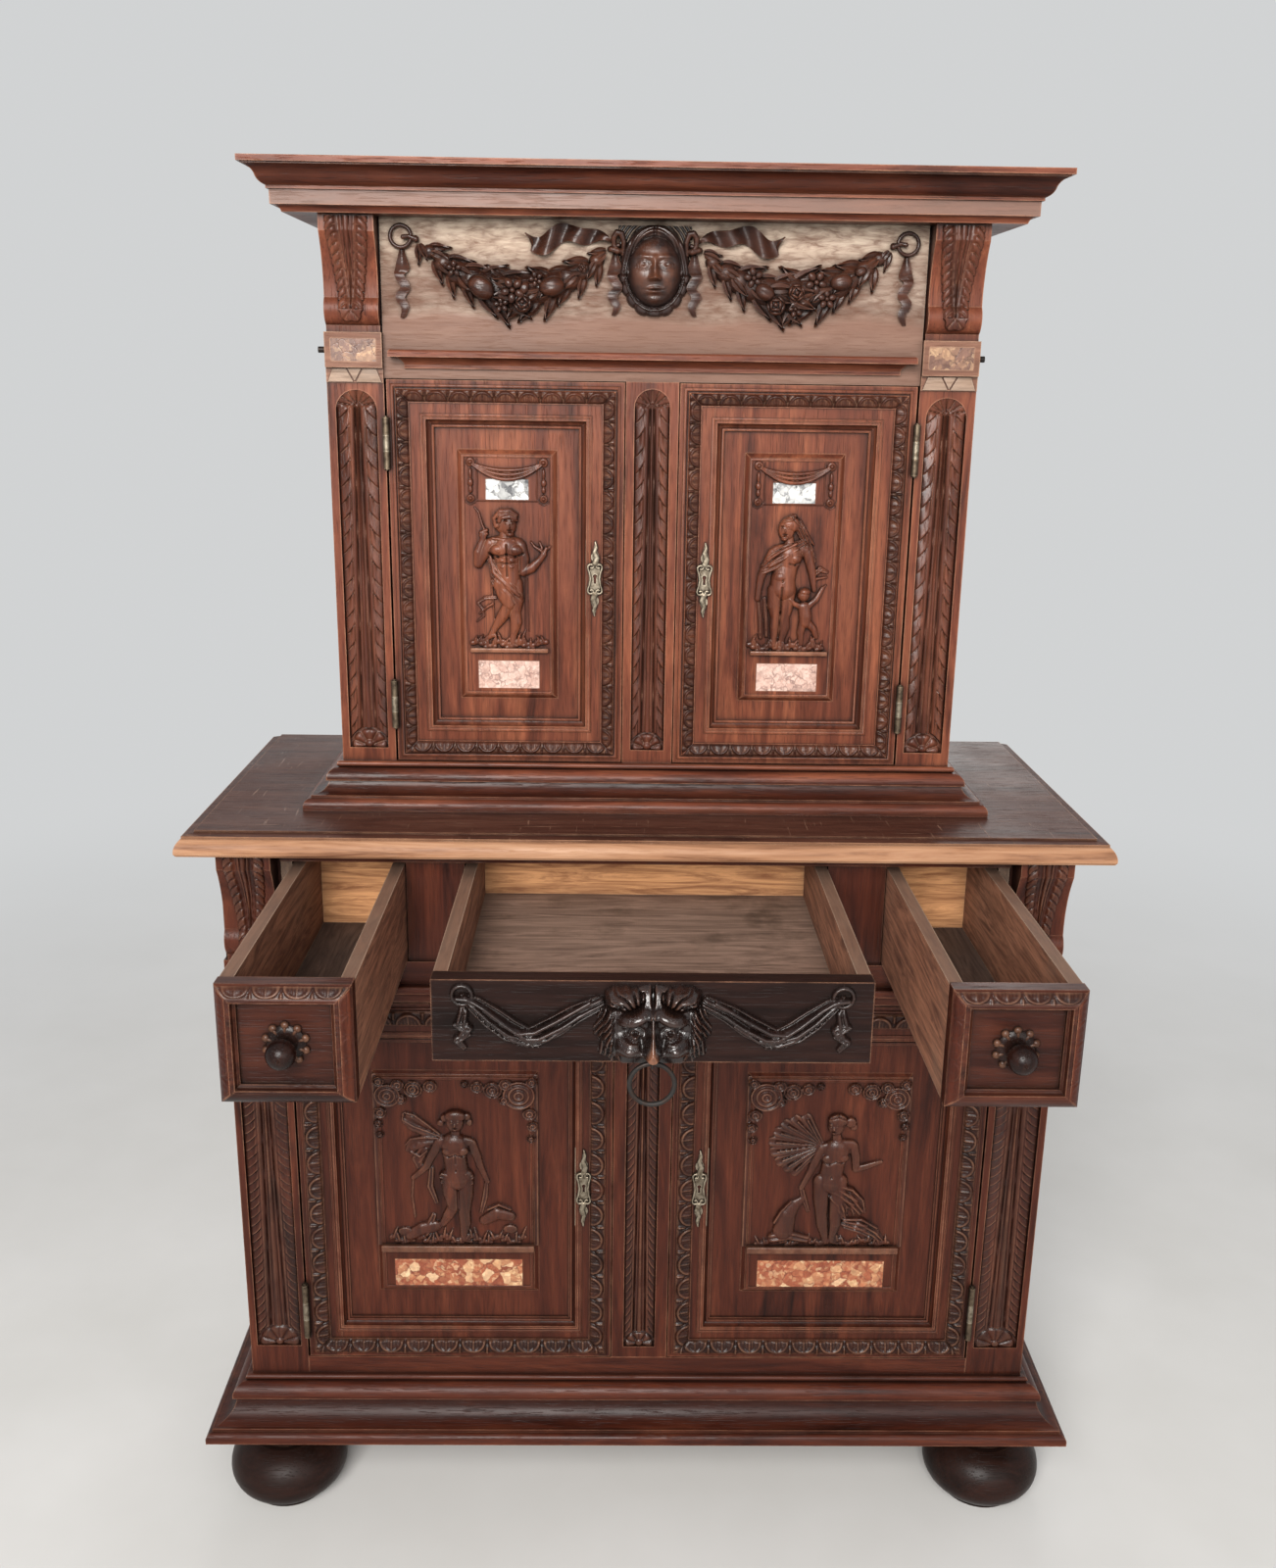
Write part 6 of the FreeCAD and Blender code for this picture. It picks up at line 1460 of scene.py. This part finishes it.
def drawer_swags(finish):
    """Cloth swags from two rings to the lion, pinched where lowest, with beaded edges and hanging ends."""
    front = span("centre_drawer_front")[0].y
    ring = [(181 + 9.6 * cos(pi * step / 8), 896 + 9.6 * sin(pi * step / 8), 2.1, 1.6)
            for step in range(17)]
    limbs = chains(
        cloth=[
            [(180, 894, 4.4, 1.6), (168, 887, 8.5, 2.0), (152, 876, 11.5, 2.4), (136, 867, 12, 2.8),
             (122, 863, 9.5, 2.8)],
            [(128, 859, 7.5, 2.8), (112, 863, 11, 3.0), (92, 871, 11, 2.8), (74, 880, 9.5, 2.4),
             (52, 889, 7.5, 2.0)],
        ],
        line=[
            [(178, 895, 1.8, 3.6), (160, 886, 2.0, 5.4), (140, 873, 2.2, 6.4), (124, 864, 2.0, 6.8),
             (112, 858, 1.6, 5.4)],
            [(172, 888, 1.6, 3.2), (150, 870, 1.8, 5.4), (134, 859, 2.0, 5.8), (120, 855, 1.8, 5.2),
             (104, 857, 1.4, 4.0)],
            [(130, 866, 1.8, 6.6), (112, 869, 2.2, 7.0), (90, 878, 2.0, 6.2), (60, 891, 1.8, 4.0)],
            [(126, 861, 1.8, 6.2), (108, 862, 2.2, 6.8), (86, 870, 2.0, 6.0), (58, 884, 1.6, 3.6)],
            [(118, 856, 1.6, 4.8), (100, 859, 1.8, 5.2), (78, 870, 1.6, 4.4)],
            ring,
            [(186, 893, 2.2, 3.2), (176, 893, 2.6, 4.0), (168, 889, 2.2, 3.6)],
            [(176, 868, 1.2, 3.0), (189, 866, 1.4, 3.4), (177, 857, 1.4, 3.2), (188, 852, 1.2, 2.6)],
        ],
        fold=[
            [(181, 886, 2.4, 1.0), (180, 878, 5.6, 1.4), (182, 868, 7.0, 1.6)],
            [(186, 868, 2.4, 2.4), (176, 862, 5.4, 2.4), (180, 856, 5.8, 2.0)],
            [(175, 856, 2.4, 2.6), (186, 850, 4.6, 2.4), (180, 842, 3.4, 1.2), (180, 838.5, 1.4, 0.6)],
        ],
    )
    domes = [(166 - 5.2 * step, 875.5 - 24 * (1 - (step / 11 - 1) ** 2), 1.9, 1.9, 4.4)
             for step in range(12)]

    def hung(side, x, z, *rest):
        """A spot on one side, lower where the cloth hangs deepest."""
        return side * x, z - 8 * line(x - 116, 38), *rest

    for side in (-1, 1):
        x, z = field(*sorted((side * 46, side * 194)), 836, 908.5, 0.66)
        relief = np.full_like(x, -1.0)
        for kind, chain in limbs:
            raise_limb(relief, x, z, kind, [hung(side, *spot) for spot in chain])
        for spot in domes:
            raise_dome(relief, x, z, *hung(side, *spot))
        label = f"centre_drawer_swag_{HANDS[side]}"
        sheet = carved_sheet(label, x, front - raised(relief, 1.5), z, front + 1.2)
        settle(sheet, "centre_drawer", finish, 70)


def side_drawer_carving(side, finish, leaf_finish):
    """Leaves along the top of a drawer's frame, faint ones down its sides, and the beads round its knob."""
    body = f"{HANDS[side]}_drawer"
    node = f"{body}_front"
    low, high = span(node)
    ground = [face_of(node, (low.x + high.x) / 2, high.z - 1.2 - 10.8 * step / 10) for step in range(11)]
    leafed_strips(f"{body}_leaf_top", low.x + 1, high.x - 1, low.z + 1.2, high.z - 1.2, 11, 28.5, ground,
                  1.7, body, leaf_finish, "t", False)
    leafed_strips(f"{body}_leaf_sides", low.x + 1.2, high.x - 1.2, low.z + 1, high.z - 1, 11, 21, ground,
                  0.8, body, finish, "lr", False)
    knob_low, knob_high = span(f"{body}_knob")
    x, z = (knob_low.x + knob_high.x) / 2, (knob_low.z + knob_high.z) / 2
    ground = face_of(node, x + 35, z)
    beads = []
    for step in range(10):
        way = radians(36 * step + 18)
        beads.append(ball(x + 19.5 * cos(way), ground - 1.5, z + 19.5 * sin(way), 4.2, 3.6, 4.2))
        beads.append(ball(x + 15.5 * cos(way), ground - 2.5, z + 15.5 * sin(way), 5, 2.6, 2.0,
                          36 * step + 18))
    settle(joined(f"{body}_knob_rosette", beads), body, leaf_finish)


def facet_plate(outline, face, thick):
    """A small bevelled plate with a straight-sided outline of x and z points."""
    bpy.ops.mesh.primitive_circle_add(vertices=len(outline), radius=MM, fill_type="NGON")
    plate = bpy.context.object
    for vertex, (x, z) in zip(plate.data.vertices, outline):
        vertex.co = (x * MM, face * MM, z * MM)
    modify(plate, "SOLIDIFY", thickness=2 * thick * MM, offset=0)
    outward(plate)
    modify(plate, "BEVEL", width=0.8 * MM, segments=2)
    return plate


def facet_strips(finish):
    """Cut facets on the strips under the frieze blocks: a hanging wedge between two slanted plates."""
    for side in (-1, 1):
        middle = side * UPPER_POST_X
        low, high, half = 1447.4, 1462.0, 30
        face = face_of("frieze_blocks", middle, (low + high) / 2)
        outlines = [
            [(-half, low), (-1.3, low), (-9.4, high), (-half + 5.5, high)],
            [(-7.8, high), (0, low + 0.8), (7.8, high)],
            [(1.3, low), (half, low), (half - 5.5, high), (9.4, high)],
        ]
        plates = [facet_plate([(middle + x, z) for x, z in outline], face, 1.3) for outline in outlines]
        settle(joined(f"facet_plates_{HANDS[side]}", plates), "carcass", finish, 30)


# Finishes of the CAD pieces

DEEP = ((0.013, 0.0055, 0.0042, 1), (0.045, 0.0145, 0.0088, 1), (0.105, 0.034, 0.018, 1))
DEEPER = ((0.008, 0.0048, 0.0045, 1), (0.022, 0.0105, 0.0085, 1), (0.05, 0.021, 0.0145, 1))
FLUTES = ((0.018, 0.006, 0.0042, 1), (0.085, 0.0245, 0.0135, 1), (0.165, 0.053, 0.027, 1))
CARVING = ((0.022, 0.007, 0.0045, 1), (0.095, 0.0265, 0.0135, 1), (0.2, 0.062, 0.03, 1))
GARLANDS = ((0.011, 0.0045, 0.0034, 1), (0.033, 0.011, 0.0066, 1), (0.078, 0.026, 0.014, 1))
DRAWERS = ((0.017, 0.0055, 0.004, 1), (0.082, 0.0235, 0.0135, 1), (0.16, 0.052, 0.028, 1))
DARK_FRONT = ((0.009, 0.0052, 0.0046, 1), (0.027, 0.0132, 0.0108, 1), (0.05, 0.0235, 0.0178, 1))
FEET = ((0.009, 0.0052, 0.0042, 1), (0.032, 0.016, 0.012, 1), (0.06, 0.0275, 0.02, 1))
TABLE = ((0.03, 0.0115, 0.0082, 1), (0.085, 0.031, 0.02, 1), (0.135, 0.057, 0.037, 1))
TAN = ((0.17, 0.1, 0.072, 1), (0.275, 0.172, 0.127, 1), (0.39, 0.265, 0.2, 1))
PALE = ((0.08, 0.034, 0.022, 1), (0.17, 0.078, 0.05, 1), (0.25, 0.13, 0.085, 1))
FACETS = ((0.14, 0.085, 0.058, 1), (0.26, 0.175, 0.125, 1), (0.36, 0.26, 0.2, 1))
upright = walnut("walnut_upright", "z")
lengthwise = walnut("walnut_lengthwise", "x")
fluted = walnut("walnut_fluted", "z", FLUTES, carved=True, gloss=0.32, wear=0.45, shine=0.22)
carved = walnut("walnut_carved", "z", CARVING, carved=True, gloss=0.27, grime_and_shade=0.95, wear=0.5, shine=0.26)
leafage = walnut("walnut_leafage", "x", DEEP, carved=True, gloss=0.29, grime_and_shade=0.95, wear=0.5, shine=0.19)
garland_wood = walnut("walnut_garland", "x", GARLANDS, (0.22, 0.08, 0.038, 1), gloss=0.31, wear=0.35,
                      grime_and_shade=0.95, shine=0.25)
swag_wood = walnut("walnut_swags", "x", DEEPER, (0.19, 0.076, 0.042, 1), gloss=0.28, wear=0.45, grime_and_shade=0.9,
                   shine=0.4)
drawer_wood = walnut("walnut_drawers", "x", DRAWERS)
plinth_wood = walnut("walnut_plinths", "x", extra=plinth_bands)
front_dark = walnut("walnut_dark_front", "x", DARK_FRONT, shine=0.12)
foot_wood = walnut("walnut_feet", "x", FEET, shine=0.14)
cornice_wood = walnut("walnut_cornice", "x", extra=cornice_bands)
mask_wood = walnut("walnut_mask", "z", DEEPER, (0.125, 0.042, 0.02, 1), gloss=0.24, wear=0.4, grime_and_shade=0.75,
                   carved=True, rub=(0.068, 0.05), shine=0.42)
lion_wood = walnut("walnut_lion", "z", DEEPER, (0.25, 0.095, 0.045, 1), gloss=0.22, wear=0.35, grime_and_shade=0.85,
                   carved=True, rub=(-0.381, -0.394), shine=0.55)
knob_wood = walnut("walnut_knob", "y", DEEPER, (0.12, 0.05, 0.03, 1), gloss=0.25, wear=0.3, grime_and_shade=0.8)
table_wood = walnut("walnut_table", "x", TABLE, (0.42, 0.22, 0.125, 1), gloss=0.36, wear=1.0,
                    extra=table_edge, shine=0.11)
tan_board = walnut("walnut_tan", "x", TAN, (0.55, 0.38, 0.27, 1), gloss=0.5, wear=0.5, grime_and_shade=0.4,
                   pores=0.35, extra=tooled_ground)
pale_block = walnut("walnut_pale", "x", PALE, (0.45, 0.28, 0.18, 1), gloss=0.45, wear=0.7)
facet_wood = walnut("walnut_facets", "x", FACETS, (0.55, 0.42, 0.33, 1), gloss=0.5, wear=0.5)
drawer_box = drawer_oak("oak_drawers")
plain_oak = oak("oak_deepwise", "y", (0.21, 0.115, 0.065, 1), (0.07, 0.034, 0.021, 1),
                (0.16, 0.11, 0.08, 1))
board_oak = oak("oak_boards", "x", (0.22, 0.125, 0.072, 1), (0.075, 0.038, 0.024, 1), (0.16, 0.11, 0.08, 1))
back_oak = oak("oak_back", "z", (0.17, 0.1, 0.06, 1), (0.05, 0.027, 0.018, 1), (0.12, 0.085, 0.065, 1), 0.1)
iron_black = iron("iron_black", (0.022, 0.021, 0.02, 1), (0.03, 0.018, 0.013, 1), 0.48, 0.6)
brass_worn = iron("brass_worn", (0.26, 0.22, 0.165, 1), (0.10, 0.075, 0.05, 1), 0.4)
hinge_metal = iron("hinge_metal", (0.14, 0.105, 0.07, 1), (0.05, 0.034, 0.024, 1), 0.42)
# Marbles: the scale, the tones of the bits, the colour and width of the seams, and how far the bits are bent
BLACK_AND_WHITE = (75, ((0.0, (0.05, 0.05, 0.055, 1)), (0.25, (0.3, 0.3, 0.3, 1)),
                        (0.42, (0.7, 0.69, 0.66, 1)), (1.0, (0.8, 0.79, 0.76, 1))),
                   (0.025, 0.025, 0.03, 1), 0.09, 0.02)
ROSE = (95, ((0.0, (0.42, 0.25, 0.2, 1)), (0.5, (0.6, 0.4, 0.33, 1)), (1.0, (0.7, 0.51, 0.43, 1))),
        (0.17, 0.1, 0.085, 1), 0.13, 0.02)
RED = (85, ((0.0, (0.17, 0.04, 0.02, 1)), (0.45, (0.3, 0.085, 0.04, 1)), (0.72, (0.37, 0.145, 0.07, 1)),
            (0.88, (0.52, 0.31, 0.16, 1)), (1.0, (0.7, 0.5, 0.3, 1))), (0.10, 0.025, 0.015, 1), 0.08, 0.008)
BROWN = (90, ((0.0, (0.10, 0.045, 0.03, 1)), (0.74, (0.18, 0.09, 0.062, 1)), (0.9, (0.36, 0.2, 0.11, 1)),
              (1.0, (0.5, 0.33, 0.19, 1))), (0.06, 0.025, 0.018, 1), 0.08, 0.01)
pale_marbles = breccia("marble_pale", BLACK_AND_WHITE, ROSE)
red_marble = breccia("marble_red", RED)
brown_marble = breccia("marble_brown", BROWN)

FINISH_BY_SLOT = {"oak": plain_oak, "brown_marble": brown_marble, "pale_marble": pale_marbles,
                  "red_marble": red_marble, "iron": iron_black, "tan_walnut": tan_board, "walnut": upright}
FINISH_BY_NODE = {"plinth_moulding": plinth_wood, "upper_plinth_moulding": plinth_wood,
                  "cornice": cornice_wood, "rails": lengthwise, "rail_mouldings": lengthwise,
                  "centre_drawer_front": front_dark, "left_drawer_front": drawer_wood,
                  "right_drawer_front": drawer_wood, "table_top": table_wood, "frieze_board": tan_board,
                  "frieze_blocks": pale_block, "bun_feet": foot_wood, "left_drawer_box": drawer_box,
                  "right_drawer_box": drawer_box, "centre_drawer_box": drawer_box,
                  "left_drawer_knob": knob_wood, "right_drawer_knob": knob_wood,
                  "carcass_hinge_leaves": hinge_metal, "back_planks": back_oak, "shelves": board_oak,
                  "floor_and_top_boards": board_oak}


def dress_cad():
    """Gives each CAD piece its finish, by its name or else by its material."""
    for name, piece in cad_parts.items():
        old = piece.data.materials[0].name if piece.data.materials else ""
        kind = next((slot for slot in FINISH_BY_SLOT if old.startswith(slot) or old.endswith(slot)),
                    "walnut")
        finish = FINISH_BY_NODE.get(name, FINISH_BY_SLOT[kind])
        if name.endswith("_fittings"):
            finish = brass_worn
        for index in range(len(piece.material_slots)):
            piece.material_slots[index].material = finish


dress_cad()

models = (leaf_model(), flower_model(), rose_model(), fruit_model())
for side in (-1, 1):
    garland(side, models, garland_wood)
    side_drawer_carving(side, upright, leafage)
frieze_mask(mask_wood, garland_wood)
console_carving("upper", fluted)
console_carving("lower", fluted)
for side, label in ((-1, "left"), (1, "right"), (0, "centre")):
    upper_width, lower_width, upper_head, shell = (46, 56, 1439, 18) if side else (40, 40, 1444, 20)
    pilaster_carving("upper", side * UPPER_POST_X, upper_width, 1023, upper_head, shell, fluted,
                     f"upper_{label}_pilaster_carving")
    pilaster_carving("lower", side * LOWER_POST_X, lower_width, 253.3, 726, shell, fluted,
                     f"lower_{label}_pilaster_carving")
carve_doors(carved, leafage, upright, brass_worn)
settle(lion(lion_wood), "centre_drawer", iron_black)
drawer_swags(swag_wood)
facet_strips(facet_wood)
put_away(*models)


# Floor, light and camera

bpy.ops.object.select_all(action="DESELECT")
bpy.ops.mesh.primitive_plane_add(size=14, location=(0, 0, 0))
floor = bpy.context.object
floor.name = "studio_floor"
floor.data.materials.append(pale_floor("floor_pale", BACKDROP))

scene = bpy.context.scene
scene.view_settings.view_transform = "Standard"
world = bpy.data.worlds.new("studio")
scene.world = world
world.use_nodes = True
tree = world.node_tree
tree.nodes.clear()
soft_light = add(tree, "Background", {"Color": (0.93, 0.96, 1.0, 1), "Strength": 0.36})
backdrop = add(tree, "Background", {"Color": BACKDROP, "Strength": 1.0})
both = add(tree, "MixShader")
tree.links.new(seen_rays(tree), both.inputs[0])
tree.links.new(soft_light.outputs[0], both.inputs[1])
tree.links.new(backdrop.outputs[0], both.inputs[2])
tree.links.new(both.outputs[0], add(tree, "OutputWorld").inputs[0])


def lamp(name, spot, aim, size, power):
    data = bpy.data.lights.new(name, "AREA")
    data.size = size
    data.energy = power
    data.color = (1.0, 0.98, 0.95)
    piece = bpy.data.objects.new(name, data)
    bpy.context.collection.objects.link(piece)
    way = Vector(aim) - Vector(spot)
    piece.matrix_world = Matrix.Translation(spot) @ way.to_track_quat("-Z", "Y").to_matrix().to_4x4()


lamp("sky_lamp", (-0.6, -3.4, 2.6), (0, 0.0, 0.95), 2.0, 255)
lamp("front_lamp", (1.9, -3.2, 1.7), (0, 0, 0.8), 2.2, 30)
lamp("back_lamp", (0.3, 3.2, 2.6), (0, 0, 0.9), 2.4, 45)

# The camera: its lens in mm, its turns in radians and its spot in m
eye_data = bpy.data.cameras.new("camera")
eye_data.sensor_fit = "VERTICAL"
eye_data.sensor_height = 36
eye_data.lens = 33.03
eye = bpy.data.objects.new("camera", eye_data)
bpy.context.collection.objects.link(eye)
aim = (Matrix.Rotation(-0.017, 4, "Z") @ Matrix.Rotation(pi / 2 - 0.2822, 4, "X")
       @ Matrix.Rotation(0.0148, 4, "Z"))
eye.matrix_world = Matrix.Translation((-0.0386, -1.60405, 1.4682)) @ aim
scene.camera = eye
